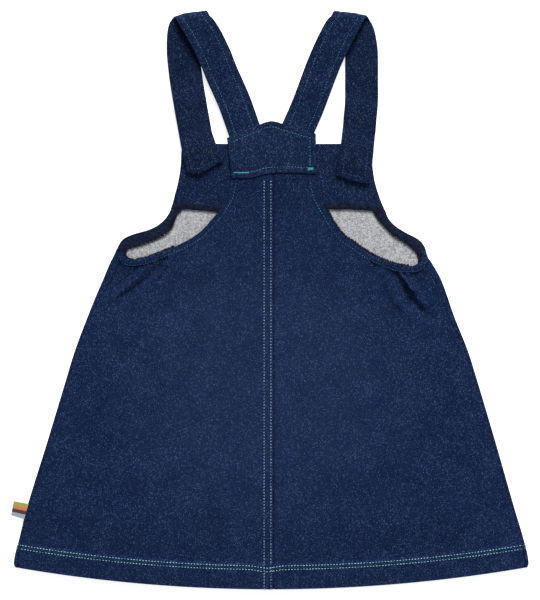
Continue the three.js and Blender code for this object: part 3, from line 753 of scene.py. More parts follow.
# The armhole edges as y and x from the yoke down; the last row is added at the side seam, at the height low
armholes = {
    "left": {
        "low": 39.7,
        "edge": [
            (132, -38), (124, -38.6), (114, -40.5), (106, -42.2), (97, -46.5), (88, -52.1), (80, -59), (73, -65),
            (66, -72.5), (60, -82), (54.4, -93), (49.2, -105.5), (45.2, -115.5), (42, -124.5), (40.6, -133),
        ],
    },
    "right": {
        "low": 33,
        "edge": [
            (132, 44.4), (124, 45), (114, 45.6), (106, 47.6), (97, 51.5), (88, 57), (80, 61.2), (72, 66.5),
            (64, 73), (57.4, 83), (50.8, 92), (44.8, 101.5), (40, 112), (36.4, 121.5), (34, 131),
        ],
    },
}
back = {
    "seamX": 2.9,
    "seamGap": 0.04,
    "allowance": 10.5,
    "allowanceRise": 0.6,
    "seamDip": 1.3,
    "seamWide": 1.15,
    "stitches": (-6.4, 0.4),  # the two rows beside the seam
    "yokeEdge": 122,
    "puff": 1.9,
    "puffReach": 26,
    "puffFrom": 100,  # from here down the cloth puffs out more and more
    "foldsFrom": (3, 7),  # the folds begin so far from the edges
    "hemFlat": (12, 70),  # and the hem keeps them flat up to here above it
    "topstitch": 5.5,
    "stitchDip": 0.22,
    "casingRise": 0.5,
    "sideDip": 1.2,
    "sideFloor": 2.7,  # the side dip stays above this
    "floor": 2.85,  # and the folds above this, clear of the front
}
gathers = {
    "left": {"from": 96, "to": 152, "waveLength": 5.2, "rise": 3.0, "reach": 13},
    "right": {"from": 92, "to": 158, "waveLength": 5.6, "rise": 2.8, "reach": 12},
}
# Each fold: its line in plan from x, y to x, y, how wide it is, and how far it rises, or sinks where it is below 0
folds = [
    (-111, 32, -132, 12.5, 3.2, -5.2), (-132, 12.5, -157.5, -6, 3.8, -4.2), (-122, 33, -147, 9, 4.2, 2.0),
    (-104, 35, -124, 12, 3.4, 1.7), (-96.5, 38, -110, 20, 2.4, -2.2), (-90, 20, -101, -10, 6.5, -1.9),
    (-101, -10, -146, -62, 8, -1.4), (-136, 29, -153, 12, 2.6, -1.6), (124.5, 26, 131.5, 11.5, 2.7, -8.0),
    (131.5, 11.5, 141, -3, 3.0, -8.0), (141, -3, 160, -19, 3.4, -4.4), (133, 26, 141, 15, 1.8, -3.4),
    (141, 15, 151, 19, 1.8, -2.4), (132, 23.5, 142.5, 9, 4.0, 6.4), (142.5, 9, 152, -3, 4.6, 3.8),
    (112, 27, 127, -4, 5.0, 3.0), (160, 14, 168, -6, 4.2, -1.8), (150, -24, 88, -54, 9, -1.3),
    (24, -20, 25, -150, 7, -1.2), (-60, 60, -70, -40, 13, 0.9), (62, 50, 74, -60, 13, 0.9),
]


def foldRise(x, y):
    total = np.zeros_like(x)
    for x1, y1, x2, y2, width, rise in folds:
        alongX, alongY = x2 - x1, y2 - y1
        long = alongX**2 + alongY**2
        share = np.clip(((x - x1) * alongX + (y - y1) * alongY) / long, 0, 1)
        away = np.hypot(x - x1 - share * alongX, y - y1 - share * alongY)
        total += rise * bell(away, 0, width) * (0.75 + 0.25 * np.sin(3.1 * share + x1))
    return total


def seamEdge(side, y):  # where a back panel ends at the side seam
    return readTable(outline, side, y) - signs[side] * (readTable(sideFolds, side, y) + 0.06)


def armholeTable(side):
    low = armholes[side]["low"]
    return tableOf("y x", armholes[side]["edge"] + [(low, float(seamEdge(side, low)))])


edgeLines = {}
for side in sides:
    ys = rowHeights(armholes[side]["low"], armholes[side]["edge"][0][0], 0.25)
    edgeLines[side] = pathAlong(np.stack([readTable(armholeTable(side), "x", ys), ys], -1), 0.7)


def armholeEdge(side):  # the points along an armhole edge, and the direction into the cloth at each
    line, _ = edgeLines[side]
    tangent = unit(np.gradient(line, axis=0))
    return line, -signs[side] * np.stack([-tangent[:, 1], tangent[:, 0]], -1)


def nearArmhole(side, x, y):
    # Distance from the armhole edge and the place along it, for each point
    line, distance = edgeLines[side]
    flat = np.stack([np.ravel(x), np.ravel(y)], -1)
    best = np.empty(len(flat))
    place = np.empty(len(flat))
    for start in range(0, len(flat), 4000):
        part = flat[start : start + 4000]
        away = np.hypot(part[:, None, 0] - line[None, :, 0], part[:, None, 1] - line[None, :, 1])
        nearest = away.argmin(1)
        best[start : start + 4000] = away[np.arange(len(part)), nearest]
        place[start : start + 4000] = distance[nearest]
    return best.reshape(np.shape(x)), place.reshape(np.shape(x))


def gatherRise(side, x, away, place):
    values = gathers[side]
    uneven = place + 1.3 * np.sin(place / 7.3) + 0.7 * np.sin(place / 3.1)
    wave = np.abs(np.sin(math.pi * uneven / values["waveLength"])) ** 0.8
    reach = values["reach"] * (0.75 + 0.45 * np.sin(place / 5.3) + 0.3 * np.sin(place / 2.9))
    out = np.abs(x)
    window = ramp(out, values["from"], values["from"] + 14) * (1 - ramp(out, values["to"] - 4, values["to"]))
    return values["rise"] * (wave - 0.4) * window * np.exp(-((away / np.maximum(reach, 4)) ** 2))


def backTop(side, x, y, row):
    # Height of the outer face; row is the height of the point's row at the side seam
    centre = back["seamX"] + signs[side] * back["seamGap"]
    away, place = nearArmhole(side, x, y)
    inset = np.where(row < armholes[side]["low"], np.abs(seamEdge(side, row) - x), 200.0)
    near = np.minimum(away, inset)
    free = ramp(near, 0, back["puffReach"]) * ramp(back["puffFrom"] - y, 0, 60)
    flatHem = 0.12 + 0.88 * ramp(row - hem["side"], *back["hemFlat"])
    base = readTable(sideFolds, "height", row)
    puff = (back["puff"] + 0.6 * crumple(x, y)) * free * flatHem
    puff = puff + foldRise(x, y) * ramp(near, *back["foldsFrom"]) * flatHem
    puff = np.maximum(puff, back["floor"] - base)
    belowYoke = ramp(back["yokeEdge"] - y, 0, 10)
    seamAway = np.abs(x - centre)
    ridge = 0
    if side == "left":
        ridge = back["allowanceRise"] * (1 - ramp(seamAway, back["allowance"] - 1.5, back["allowance"])) * belowYoke
    ridge = ridge - back["seamDip"] * bell(seamAway, 0, back["seamWide"])
    ridge = ridge - np.clip(base - back["sideFloor"], 0, back["sideDip"]) * bell(inset, 0, 1.5)
    turned = back["casingRise"] * (1 - ramp(away, back["topstitch"], back["topstitch"] + 3)) * belowYoke
    turned = turned - back["stitchDip"] * bell(away, back["topstitch"], 0.9) * belowYoke
    return base + puff + gatherRise(side, x, away, place) + ridge + turned


def backRows(side):
    spaced, _ = pathAlong(edgeLines[side][0], 2.2)
    bands = [(-26, armholes[side]["low"] - 0.3, 1.25), (-36, -26, 2.0), (-238, -36, 3.4)]
    bands += [(-247, -238, 0.75), (-263, -247, 1.8), (-266.5, -263, 0.9)]
    skirt = rowsDown(bands)
    ys = np.r_[spaced[:, 1], skirt]
    edges = np.r_[spaced[:, 0], seamEdge(side, skirt)]
    return ys, edges, len(spaced)


def backGrid(side, columns=126):
    sign = signs[side]
    ys, edges, split = backRows(side)
    centre = back["seamX"] + sign * back["seamGap"]
    strip = centre + sign * (back["allowance"] + 1.5)
    inner = np.linspace(centre, strip, 11)
    share = np.linspace(0, 1, columns - 9)[1:] ** 0.88
    x = np.concatenate([np.repeat(inner[None, :], len(ys), 0), strip + (edges[:, None] - strip) * share[None, :]], 1)
    row = np.repeat(ys[:, None], x.shape[1], 1)
    half = np.abs(readTable(outline, side, row))
    y = np.where(np.arange(len(ys))[:, None] < split, row, bowed(row, x, half))
    z = backTop(side, x, y, row)
    over = np.stack([x, y, z], -1)
    thick = clothThickness(row)
    under = over - np.stack([0 * thick, 0 * thick, thick], -1)
    if sign < 0:
        under, over = under[:, ::-1], over[:, ::-1]
    return under, over


def makeBack(side):
    under, over = backGrid(side)
    piece = wallObject(f"back{side.title()}", under, over, materials["denim"], materials["terry"])
    return finishPiece(piece, [f"back_{side}"])


backs = {side: makeBack(side) for side in sides}

print("gathered armhole corners")

# The elastic gathers the armhole's turned edge into a roll at each side; path gives its last stretch round the corner
rolls = {
    "left": {
        "from": 100,
        "inset": 3.1,
        "flank": 140,
        "path": [(-138.6, 37.1, 6.2), (-144, 38.2, 6.3), (-148.8, 41.2, 6.0), (-151, 46.4, 5.2)],
    },
    "right": {
        "from": 98,
        "inset": 3.0,
        "flank": 40,
        "path": [(141, 30.7, 6.2), (148, 32.4, 6.2), (152.8, 37.4, 5.8), (153.6, 44, 4.8), (152, 50, 3.6)],
    },
}
rollShape = {"wide": 3.5, "high": 1.2, "pucker": 0.85, "puckerLength": 3.3, "ends": 9, "sunk": 0.15}


def rollRings(side):
    values = rolls[side]
    line, inward = armholeEdge(side)
    out = np.abs(line[:, 0])
    keep = (out > values["from"]) & (out < abs(armholes[side]["edge"][-1][1]))
    plan = (line + inward * values["inset"])[keep][::6]
    height = backTop(side, plan[:, 0], plan[:, 1], plan[:, 1]) - rollShape["sunk"]
    places = np.vstack([np.column_stack([plan, height]), values["path"]])
    middle, distance = pathAlong(catmull(places, 8), 0.6)
    along = unit(np.gradient(middle, axis=0))
    across = unit(np.cross(along, [0, 0, 1]))
    return middle, across, np.cross(across, along), distance


def rollSize(distance):
    left = np.minimum(distance, distance[-1] - distance)
    taper = np.sqrt(np.clip(left / rollShape["ends"], 0.0, 1)) * 0.96 + 0.04
    wave = np.abs(np.sin(math.pi * (distance + 0.9 * np.sin(distance / 2.3)) / rollShape["puckerLength"]))
    return taper, 1 + rollShape["pucker"] * (wave - 0.6)


def rollSurface(side, angles):
    middle, across, up, distance = rollRings(side)
    taper, pucker = rollSize(distance)
    wide = rollShape["wide"] * taper * (0.9 + 0.1 * pucker)
    high = rollShape["high"] * taper * pucker
    rings = middle[:, None] + across[:, None] * (np.cos(angles)[None, :, None] * wide[:, None, None])
    rings = rings + up[:, None] * (np.sin(angles)[None, :, None] * high[:, None, None])
    return rings, middle, distance


def makeRoll(side):
    rings, middle, _ = rollSurface(side, np.linspace(0, 2 * math.pi, 18, endpoint=False))
    count, around = rings.shape[:2]
    points = np.vstack([rings.reshape(-1, 3), middle[0], middle[-1]])
    faces = []
    for i in range(count - 1):
        for j in range(around):
            k = (j + 1) % around
            faces.append((i * around + j, (i + 1) * around + j, (i + 1) * around + k, i * around + k))
    first, last = len(points) - 2, len(points) - 1
    for j in range(around):
        k = (j + 1) % around
        faces.append((first, j, k))
        faces.append((last, (count - 1) * around + k, (count - 1) * around + j))
    mesh = bpy.data.meshes.new(f"armholeRoll{side.title()}")
    mesh.from_pydata((points * mm).tolist(), [], faces)
    mesh.materials.append(materials["denim"])
    work = bmesh.new()
    work.from_mesh(mesh)
    bmesh.ops.recalc_face_normals(work, faces=work.faces)
    work.to_mesh(mesh)
    work.free()
    mesh.shade_smooth()
    return finishPiece(addObject(mesh.name, mesh))


armholeRolls = {side: makeRoll(side) for side in sides}

print("yoke")

yokeEdges = tableOf(
    "x top bottom",
    [
        (-43.5, 161.5, 121), (-32, 166.4, 121.2), (-21.5, 170.8, 121.7), (-9.8, 175.4, 124.6), (-4, 177.6, 125.7),
        (0.9, 178.4, 126.2), (6, 177.7, 126.5), (11.5, 175.8, 126.6), (22, 172.5, 126.5), (34, 169, 126),
        (45.3, 165.8, 125.5),
    ],
)
yoke = {
    "left": -43.5,
    "right": 45.3,
    "taper": 4.8,
    "top": 6.4,
    "innerUnder": 3.5,
    "thickFrom": (0.26, 0.29),  # shares of the way down between which both layers are full
    "thickTo": (0.66, 0.69),
    "puff": 0.35,
    "puffFrom": (6, 16),
    "groove": 0.22,
    "grooveWide": 0.9,
    "edgeDrop": 0.35,
    "topstitch": 6,
    "sideStitch": 6,
}


def yokePlan(share, across):
    top = readTable(yokeEdges, "top", across)
    bottom = readTable(yokeEdges, "bottom", across)
    x = np.where(across < 0, across * (1 - share * yoke["taper"] / -yoke["left"]), across)
    return x, top + (bottom - top) * share


def yokeTop(share, across):
    top = readTable(yokeEdges, "top", across)
    bottom = readTable(yokeEdges, "bottom", across)
    fromTop = share * (top - bottom)
    fromBottom = (1 - share) * (top - bottom)
    edge = np.minimum(np.minimum(fromTop, fromBottom), np.minimum(across - yoke["left"], yoke["right"] - across))
    puff = yoke["puff"] * ramp(edge, *yoke["puffFrom"]) + 0.1 * crumple(3 * across, 3 * fromTop, 2.2)
    near = [bell(away, yoke["topstitch"], yoke["grooveWide"]) for away in (fromTop, fromBottom)]
    return yoke["top"] + puff - yoke["groove"] * (near[0] + near[1]) - yoke["edgeDrop"] * (1 - ramp(edge, 0, 1.2))


def makeYoke():
    across = np.linspace(yoke["left"], yoke["right"], 80)[None, :]
    share = np.linspace(0, 1, 48)[:, None]
    across, share = np.broadcast_arrays(across, share)
    x, y = yokePlan(share, across)
    top = yokeTop(share, across)
    thick = ramp(share, *yoke["thickFrom"]) * (1 - ramp(share, *yoke["thickTo"]))
    under = (yoke["top"] - cloth) + (yoke["innerUnder"] - yoke["top"] + cloth) * thick
    under, over = np.stack([x, y, under], -1), np.stack([x, y, top], -1)
    piece = wallObject("backYoke", under, over, materials["yoke"], materials["yoke"], rim=0.4)
    finishPiece(piece, ["back_yoke"])
    return piece


backYoke = makeYoke()

print("straps")

strap = {
    "width": 33,
    "wall": 2.6,
    "loopRadius": 5,
    "stitchIn": 7,
    "pointLong": 22,
    "flareLong": 32,
    "droop": 1.1,
    "droopLong": 14,
    "cornerLong": 7,
    "fallFrom": 0.55,  # the share of its length from which a strap hangs down in front
    "endStitch": {"part": 0.66, "in": 4.6, "long": 30},
}
# Each end: how far it reaches at places from -1 to 1 across, how much wider each side gets, and the cut of the
# outer corner where the strap turns over
strapEnds = {
    "left": {"cut": [(-1, 1.1), (-0.7, 4.6), (-0.32, 6.3), (0.3, 3.9), (1, -0.5)], "flare": (0, 4.6), "corner": 1.5},
    "right": {"cut": [(-1, 2.2), (-0.2, 5.3), (0.7, 6.4), (1, 5.6)], "flare": (1.5, 0), "corner": 0.8},
}
strapPaths = {  # the middle line: x, y, z, and how far the strap is turned in plan, in degrees
    "left": {
        "rise": [
            (-23.5, 162.7, 3.4, 21), (-26, 169.2, 3.4, 21), (-36.2, 197.8, 3.9, 22), (-48.7, 226, 5.4, 23),
            (-55, 242, 7.3, 24), (-63.5, 259.5, 9.7, 23), (-71.5, 273, 11.3, 17),
        ],
        "loop": {"x1": -76.5, "x2": -84.5, "y": 280, "z": 6.6, "turn": 8},
        "fall": [
            (-86.5, 269, 1.7, 3), (-87.2, 256, 1.6, 1), (-86.8, 243, 1.6, 3), (-84.5, 222, 1.7, 6),
            (-82.6, 210, 2.9, 7), (-81, 201, 4.2, 8), (-79, 189, 4.3, 8), (-77, 178, 4.3, 9), (-75.2, 168, 5, 10),
            (-73.4, 158.5, 7.2, 11), (-71, 146, 7.3, 12), (-68, 133, 7.3, 14),
        ],
    },
    "right": {
        "rise": [
            (24.3, 163.9, 3.4, -23), (26.3, 168.5, 3.4, -23), (37.3, 193.5, 3.9, -23), (49.3, 225.5, 5.4, -21),
            (55.8, 241.5, 7.3, -22), (63.3, 257.5, 9.7, -23), (71, 272, 11.3, -18),
        ],
        "loop": {"x1": 76.5, "x2": 84, "y": 280, "z": 6.6, "turn": -7},
        "fall": [
            (87.5, 269, 1.7, 0), (90, 256, 1.6, 0), (91, 243, 1.6, 0), (91, 216, 1.7, 0), (91, 203, 2.9, -1),
            (90.6, 194, 4.2, -2), (89.4, 182, 4.3, -4), (88.6, 171, 4.3, -5), (87.6, 163, 4.9, -5),
            (86.6, 154, 7.1, -6), (84.8, 137, 7.3, -7), (83.4, 124, 7.3, -8),
        ],
    },
}
buttonMarks = {
    "left": [buttonsInBib["left"], (-81.5, 189)],
    "right": [buttonsInBib["right"], (89.3, 182)],
}


def strapLine(side):
    path = strapPaths[side]
    loop = path["loop"]
    over = []
    for share in np.linspace(0, 1, 7):
        angle = math.pi * share
        x = loop["x1"] + (loop["x2"] - loop["x1"]) * share
        y = loop["y"] + strap["loopRadius"] * math.sin(angle)
        z = loop["z"] + strap["loopRadius"] * math.cos(angle)
        over.append((x, y, z, loop["turn"]))
    return pathAlong(catmull(path["rise"] + over + path["fall"], 12), 2.0)


def strapFrame(side):
    line, distance = strapLine(side)
    middle = line[:, :3]
    along = unit(np.gradient(middle, axis=0))
    turn = np.radians(line[:, 3])
    across = np.stack([np.cos(turn), np.sin(turn), 0 * turn], -1)
    return middle, along, across, unit(np.cross(across, along)), distance


strapFrames = {side: strapFrame(side) for side in sides}


def strapSurface(side, part, face):
    # Points across the strap: part is from -1 to 1, face is 1 on the outer face and -1 on the inner one
    middle, along, across, normal, distance = strapFrames[side]
    part = np.asarray(part, float)
    fromEnd = distance[-1] - distance
    end = strapEnds[side]
    outward = signs[side]
    cut = np.array(end["cut"], float)
    tip = np.clip(1 - fromEnd / strap["pointLong"], 0, 1)[:, None] * np.interp(part, cut[:, 0], cut[:, 1])
    flare = np.where(part < 0, *end["flare"]) * np.clip(1 - fromEnd / strap["flareLong"], 0, 1)[:, None]
    points = middle[:, None, :] + across[:, None, :] * (part * (strap["width"] / 2 + flare))[..., None]
    points = points + along[:, None, :] * tip[..., None]
    near = ramp(strap["droopLong"] - fromEnd, 0, strap["droopLong"])[:, None]
    droop = strap["droop"] * near * (0.6 + 0.8 * np.abs(part))
    points[..., 2] -= droop
    top = distance[middle[:, 1].argmax()]
    corner = end["corner"] * bell(distance, top, strap["cornerLong"])[:, None] * ramp(outward * part, 0.3, 1)
    points[..., 0] -= outward * corner
    points[..., 1] -= 0.8 * corner
    sideIn = (1 - np.abs(part)) * strap["width"] / 2
    groove = 0.2 * bell(sideIn, strap["stitchIn"], 1.0)
    puff = 0.22 * ramp(sideIn, strap["stitchIn"], strap["stitchIn"] + 5)
    bumps = 0.16 * crumple(2.6 * distance[:, None], 8 * part + 3, 0.7 if side == "left" else 3.9)
    half = strap["wall"] / 2 - groove + puff + bumps
    points = points + face * normal[:, None, :] * half[..., None]
    dent = np.zeros(points.shape[:2])
    if face < 0:
        for x, y in buttonMarks[side]:
            below = distance[:, None] > distance[-1] * strap["fallFrom"]
            away = np.hypot(points[..., 0] - x, points[..., 1] - y)
            dent += below * (1.0 * bell(away, 0, 2.4) - 0.3 * bell(away, 5.5, 2.4))
    return points - face * normal[:, None, :] * dent[..., None]


def makeStrap(side):
    parts = np.linspace(-1, 1, 41)
    upper = strapSurface(side, parts, 1)
    lower = strapSurface(side, parts, -1)
    piece = wallObject(f"strap{side.title()}", lower, upper, materials["strap"], materials["strapInside"], rim=0.9)
    finishPiece(piece, [f"strap_{side}"])


for side in sides:
    makeStrap(side)

print("label")

label = {
    "corners": [(-256.4, -200.7), (-241.3, -203.2), (-259.2, -214.8), (-245.6, -218.5)],
    "height": 3.2 + gap,
    "wall": 1.0,
    "drop": 1.6,
    "bands": [(0.42, 0.43, 0.1), (0.72, 0.24, 0.09), (0.07, 0.03, 0.02), (0.4, 0.42, 0.5)],
}


def labelMaterial():
    material, tree, surface = newMaterial("labelRibbon", {"Roughness": 0.5, "Sheen Weight": 0.1})
    coords = tree.nodes.new("ShaderNodeTexCoord").outputs["UV"]
    rows = addNode(tree, "ShaderNodeSeparateXYZ", {0: coords}).outputs["Y"]
    colours = addNode(tree, "ShaderNodeValToRGB", {"Fac": rows})
    bands = colours.color_ramp
    bands.interpolation = "CONSTANT"
    bands.elements[0].color = (*label["bands"][0], 1)
    bands.elements[1].position = 0.25
    bands.elements[1].color = (*label["bands"][1], 1)
    for i in (2, 3):
        bands.elements.new(0.25 * i).color = (*label["bands"][i], 1)
    weave = addNode(tree, "ShaderNodeTexWave", {"Vector": coords, "Scale": 14.0, "Distortion": 0.4}).outputs["Fac"]
    shade = mixColour(tree, spread(tree, weave, 0.0, 2.2), colours.outputs["Color"], (0.02, 0.02, 0.02, 1))
    relief = addNode(tree, "ShaderNodeBump", {"Height": weave, "Distance": 0.0002, "Strength": 0.5})
    tree.links.new(shade, surface["Base Color"])
    tree.links.new(relief.outputs[0], surface["Normal"])
    return material


def makeLabel():
    outerTop, innerTop, outerEnd, innerEnd = (np.array(corner) for corner in label["corners"])
    down = np.linspace(0, 1, 17)[:, None, None]
    inward = np.linspace(0, 1, 17)[None, :, None]
    start, end = outerTop * (1 - inward) + innerTop * inward, outerEnd * (1 - inward) + innerEnd * inward
    plan = start * (1 - down) + end * down
    outward = np.broadcast_to(1 - inward[..., 0], plan.shape[:2])
    z = label["height"] - label["drop"] * ramp(outward, 0.35, 1)
    under = np.concatenate([plan, z[..., None]], -1)
    material = labelMaterial()
    piece = wallObject("sideLabel", under, under + [0, 0, label["wall"]], material, material, rim=0.35)
    mesh = piece.data
    uv = mesh.uv_layers.new(name="ribbon")
    corners = np.array([mesh.vertices[loop.vertex_index].co[:2] for loop in mesh.loops]) / mm
    axis = (outerEnd - outerTop) / np.linalg.norm(outerEnd - outerTop)
    side = np.array([axis[1], -axis[0]])
    size = np.linalg.norm(outerEnd - outerTop)
    places = np.stack([(corners - outerTop) @ side / size, (corners - outerTop) @ axis / size], -1)
    uv.data.foreach_set("uv", places.ravel())
    finishPiece(piece, ["side_label"])


makeLabel()

print("stitches")

stitchLift = 0.12


def onBack(side, points):
    # Points in plan, laid on a back panel's outer face; row heights are found from the bow of the hem
    points = np.asarray(points, float)
    x, y = points[:, 0], points[:, 1]
    row = y.copy()
    for _ in range(12):
        half = np.abs(readTable(outline, side, row))
        row = row + (y - bowed(row, x, half))
    row = np.where(y > armholes[side]["low"], y, row)
    return np.stack([x, y, backTop(side, x, y, row) + stitchLift], -1)


def hemLine(side, above):
    sign = signs[side]
    row = hem["side"] + above
    end = float(seamEdge(side, row))
    x = np.linspace(back["seamX"] + sign * 0.6, end, 130)
    half = np.abs(readTable(outline, side, row))
    rows = row - hem["seamDip"] * bell(x, -4, 11)
    y = bowed(rows, x, half)
    z = backTop(side, x, y, rows) + stitchLift
    edge = float(readTable(outline, side, row))  # on over the side seam to the fold of the front
    radius = float(readTable(sideFolds, "height", row)) / 2
    out = np.linspace(end + sign * 0.5, edge - sign * 0.8, 6)
    rise = np.sqrt(radius**2 - np.clip(radius - np.abs(edge - out), 0, radius) ** 2)
    folded = np.stack([out, bowed(row, out, abs(edge)), radius + rise + stitchLift], -1)
    return np.vstack([np.stack([x, y, z], -1), folded])


def armholeLine(side):
    line, inward = armholeEdge(side)
    points = line + inward * back["topstitch"]
    keep = (line[:, 1] < 120) & (np.abs(line[:, 0]) < rolls[side]["from"] + 4)
    return onBack(side, points[keep])


def yokeLine(share, across):
    share, across = np.broadcast_arrays(share, across)
    x, y = yokePlan(share, across)
    return np.stack([x, y, yokeTop(share, across) + stitchLift], -1)


def yokeRows():
    across = np.linspace(yoke["left"] + 6.5, yoke["right"] - 6, 70)
    tall = readTable(yokeEdges, "top", across) - readTable(yokeEdges, "bottom", across)
    top = yokeLine(yoke["topstitch"] / tall, across)
    bottom = yokeLine(1 - yoke["topstitch"] / tall, across)
    down = np.linspace(0.15, 0.86, 40)
    right = yokeLine(down, yoke["right"] - yoke["sideStitch"])
    left = yokeLine(down, yoke["left"] + yoke["sideStitch"])
    return top, bottom, left, right


def strapRow(side, sideOf, face=1):
    part = sideOf * (1 - 2 * strap["stitchIn"] / strap["width"])
    points = strapSurface(side, [part], face)[:, 0]
    _, _, _, normal, distance = strapFrames[side]
    keep = (distance > 6) & (distance < distance[-1] - 4)
    return (points + face * normal * stitchLift)[keep]


def centreRow(x):
    ys = np.linspace(118, -288, 260)
    line = np.stack([np.full_like(ys, x), ys], -1)
    return onBack("left", line)


def rollRow(side):  # the armhole stitches go on along the lower flank of the gathered roll
    rings, _, distance = rollSurface(side, np.radians([rolls[side]["flank"]]))
    return rings[(distance > 3) & (distance < distance[-1] - 9), 0] + [0, 0, 0.15]


def strapEndRows(side):  # round the end of a strap on its inner face
    distance = strapFrames[side][4]
    fromEnd = distance[-1] - distance
    row = strap["endStitch"]
    keep = (fromEnd < row["long"]) & (fromEnd > 5)
    parts = np.linspace(-row["part"], row["part"], 25)
    across = strapSurface(side, parts, -1)[np.abs(fromEnd - row["in"]).argmin()]
    along = [strapSurface(side, [part], -1)[keep, 0] for part in parts[[0, -1]]]
    return [line + [0, 0, stitchLift] for line in [across] + along]


def addStitches():
    top, bottom, left, right = yokeRows()
    hems = [hemLine(side, above) for side in sides for above in hem["stitches"]]
    between = [hemLine(side, above) - [0, 0, 0.06] for side in sides for above in hem["loopers"]]
    centre = [centreRow(x) for x in back["stitches"]]
    under = [row - [0, 0, 0.05] for row in centre]
    armholeRows = [armholeLine(side) for side in sides]
    rollRows = [rollRow(side) for side in sides]
    outer, inner = [[strapRow(side, sideOf, face) for side in sides for sideOf in (-1, 1)] for face in (1, -1)]
    ends = [row for side in sides for row in strapEndRows(side)]
    stitchings = [  # name, rows, thread, pitch, length, thickness, slant, sway and seed
        ("yokeTopstitch", [top, bottom, right], "turquoiseThread", 2.9, 2.0, 0.58, 0.0, 0.08, 5),
        ("yokeSideStitch", [left], "navyThread", 2.9, 2.3, 0.6, 0.0, 0.08, 6),
        ("hemStitch", hems, "paleThread", 3.0, 1.8, 0.74, 0.0, 0.08, 7),
        ("hemLoopers", between, "tealThread", 2.9, 3.3, 0.6, 0.0, 0.2, 13),
        ("centreBackStitch", centre, "paleThread", 3.0, 1.6, 0.68, 0.0, 0.08, 8),
        ("centreBackLoopers", under, "tealThread", 2.9, 3.3, 0.6, 0.0, 0.08, 12),
        ("armholeTopstitch", armholeRows, "turquoiseThread", 2.9, 1.8, 0.5, 0.0, 0.08, 9),
        ("gatheredTopstitch", rollRows, "dimThread", 2.7, 1.9, 0.6, 0.0, 0.08, 14),
        ("strapTopstitch", outer, "turquoiseThread", 2.9, 1.7, 0.48, 0.0, 0.08, 10),
        ("strapInnerStitch", inner, "navyThread", 2.9, 2.2, 0.55, 0.0, 0.08, 11),
        ("strapEndStitch", ends, "dottedThread", 2.8, 1.7, 0.75, 0.0, 0.3, 15),
    ]
    for values in stitchings:
        stitchRows(*values)


addStitches()

print("overlocked edges")

overlock = {
    "casingInset": 1.6,
    "facingInset": 2.4,
    "speckInset": 0.2,
    "specks": (54, 71),  # between these heights white threads show in the casings' edges
    "backHeight": 3.6,  # of the turned-in cloth under the armhole edges
}


def casingEdge(side, inset):
    # A line along a front casing's inner edge
    edge, inner = casingGrids[side][:, -1], casingGrids[side][:, -4]
    line = edge + unit(inner - edge) * inset + [0, 0, cloth + 0.25]
    return line[line[:, 1] > casing["overlockTo"][side]]


def facingEdge(inset):
    left = float(readTable(outline, "left", facing["bottom"])) + 4
    right = float(readTable(outline, "right", facing["bottom"])) - 4
    x = np.linspace(left, right, 320)
    y = facing["bottom"] + inset + facingDrop(x)
    z = np.full_like(x, facing["under"] + cloth + 0.65)
    return np.stack([x, y, z], -1)


def backEdge(side, low, high, out):
    # A line under a back panel's armhole edge, where the turned-in cloth peeps out
    line, inward = armholeEdge(side)
    keep = (np.abs(line[:, 0]) > low) & (np.abs(line[:, 0]) < high)
    plan = (line - inward * out)[keep]
    return np.column_stack([plan, np.full(len(plan), overlock["backHeight"])])


def addOverlock():
    long = [casingEdge(side, overlock["casingInset"]) for side in sides] + [facingEdge(overlock["facingInset"])]
    low, high = overlock["specks"]
    edges = [casingEdge(side, overlock["speckInset"]) for side in sides]
    specks = [edge[(edge[:, 1] > low) & (edge[:, 1] < high)] for edge in edges]
    # the left row is partly turned-in overlocked cloth and partly painted shade under the clean fold
    rough = [backEdge("right", 56, 138, 0.8), backEdge("left", 96, 134, 0.3)]
    for values in (
        ("overlockLoops", long, "overlockThread", 0.95, 5.2, 0.85, 1.35, 0.3, 21),
        ("overlockSpecks", specks, "overlockSpeck", 3.9, 0.9, 0.6, 0.5, 1.5, 22),
        ("backEdgeOverlockAndShade", rough, "overlockThread", 0.8, 3.6, 1.4, 1.2, 0.9, 23),
    ):
        stitchRows(*values)


addOverlock()

print("bartacks and button thread")

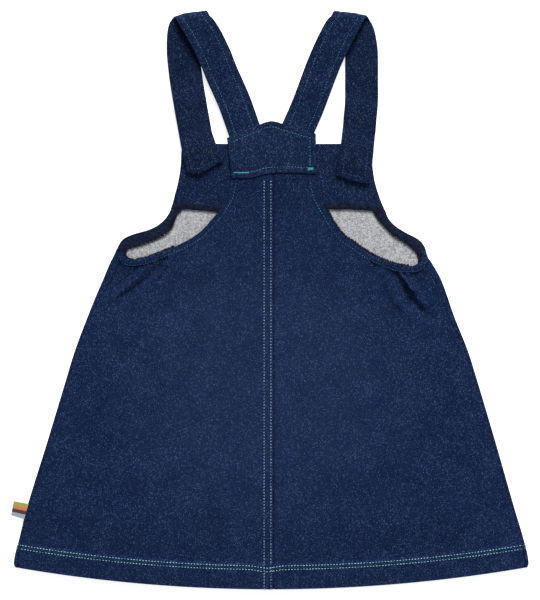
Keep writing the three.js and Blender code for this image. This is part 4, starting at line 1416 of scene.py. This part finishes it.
bartacks = [  # places on the yoke: share from its top edge, and where across; length and direction in plan
    {"share": 0.885, "across": 40, "long": 5, "turn": 4, "wide": 3.4},
    {"share": 0.875, "across": -32.5, "long": 14.5, "turn": -1, "wide": 1.5},
]
buttonThread = {"long": 3.2, "thick": 0.9}


def barRow(middle, turn, long):
    angle = math.radians(turn)
    along = np.array([math.cos(angle), math.sin(angle), 0])
    return [middle - along * long / 2, middle + along * long / 2]


def addBars():
    for name, bar in zip(("bartackRight", "bartackLeft"), bartacks):
        middle = yokeLine([bar["share"]], bar["across"])[0] + [0, 0, 0.1]
        row = barRow(middle, bar["turn"], bar["long"])
        stitchRows(name, [row], "turquoiseThread", 0.5, bar["wide"], 0.55, 1.45, 0.12, 31)


def strapPoint(side, x, y):
    # The inner face's point above one place of a fallen strap
    points = strapSurface(side, np.linspace(-1, 1, 31), -1)
    distance = strapFrames[side][4]
    points = points[distance > distance[-1] * strap["fallFrom"]].reshape(-1, 3)
    return points[np.hypot(points[:, 0] - x, points[:, 1] - y).argmin()]


def addButtonThread():
    rows = []
    for side in sides:
        for x, y in buttonMarks[side]:
            middle = strapPoint(side, x, y) + [0, 0, 0.15]
            for turn, offset in ((35, 0.7), (35, -0.7), (125, 0.7), (125, -0.7)):
                shift = np.array([-math.sin(math.radians(turn)), math.cos(math.radians(turn)), 0]) * offset
                rows.append(barRow(middle + shift, turn, buttonThread["long"]))
    stitchRows("buttonThread", rows, "overlockThread", 1.4, 2.4, buttonThread["thick"], 0.0, 0.2, 32)


addBars()
addButtonThread()

print("buttons")


def buttonMaterial():
    material, tree, surface = newMaterial("buttonPlastic", {"Roughness": 0.38})
    coords = tree.nodes.new("ShaderNodeTexCoord").outputs["Object"]
    cloud = addNode(tree, "ShaderNodeTexNoise", {"Vector": coords, "Scale": 300.0, "Detail": 3.0}).outputs["Fac"]
    shade = mixColour(tree, spread(tree, cloud, 0.3, 0.7), (0.008, 0.014, 0.035, 1), (0.014, 0.024, 0.055, 1))
    tree.links.new(shade, surface["Base Color"])
    return material


def dressButtons():
    paint = buttonMaterial()
    for name in ("button_left_in_bib", "button_left_spare", "button_right_in_bib", "button_right_spare"):
        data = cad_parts[name].data
        data.materials.clear()
        data.materials.append(paint)


dressButtons()

print("finished")
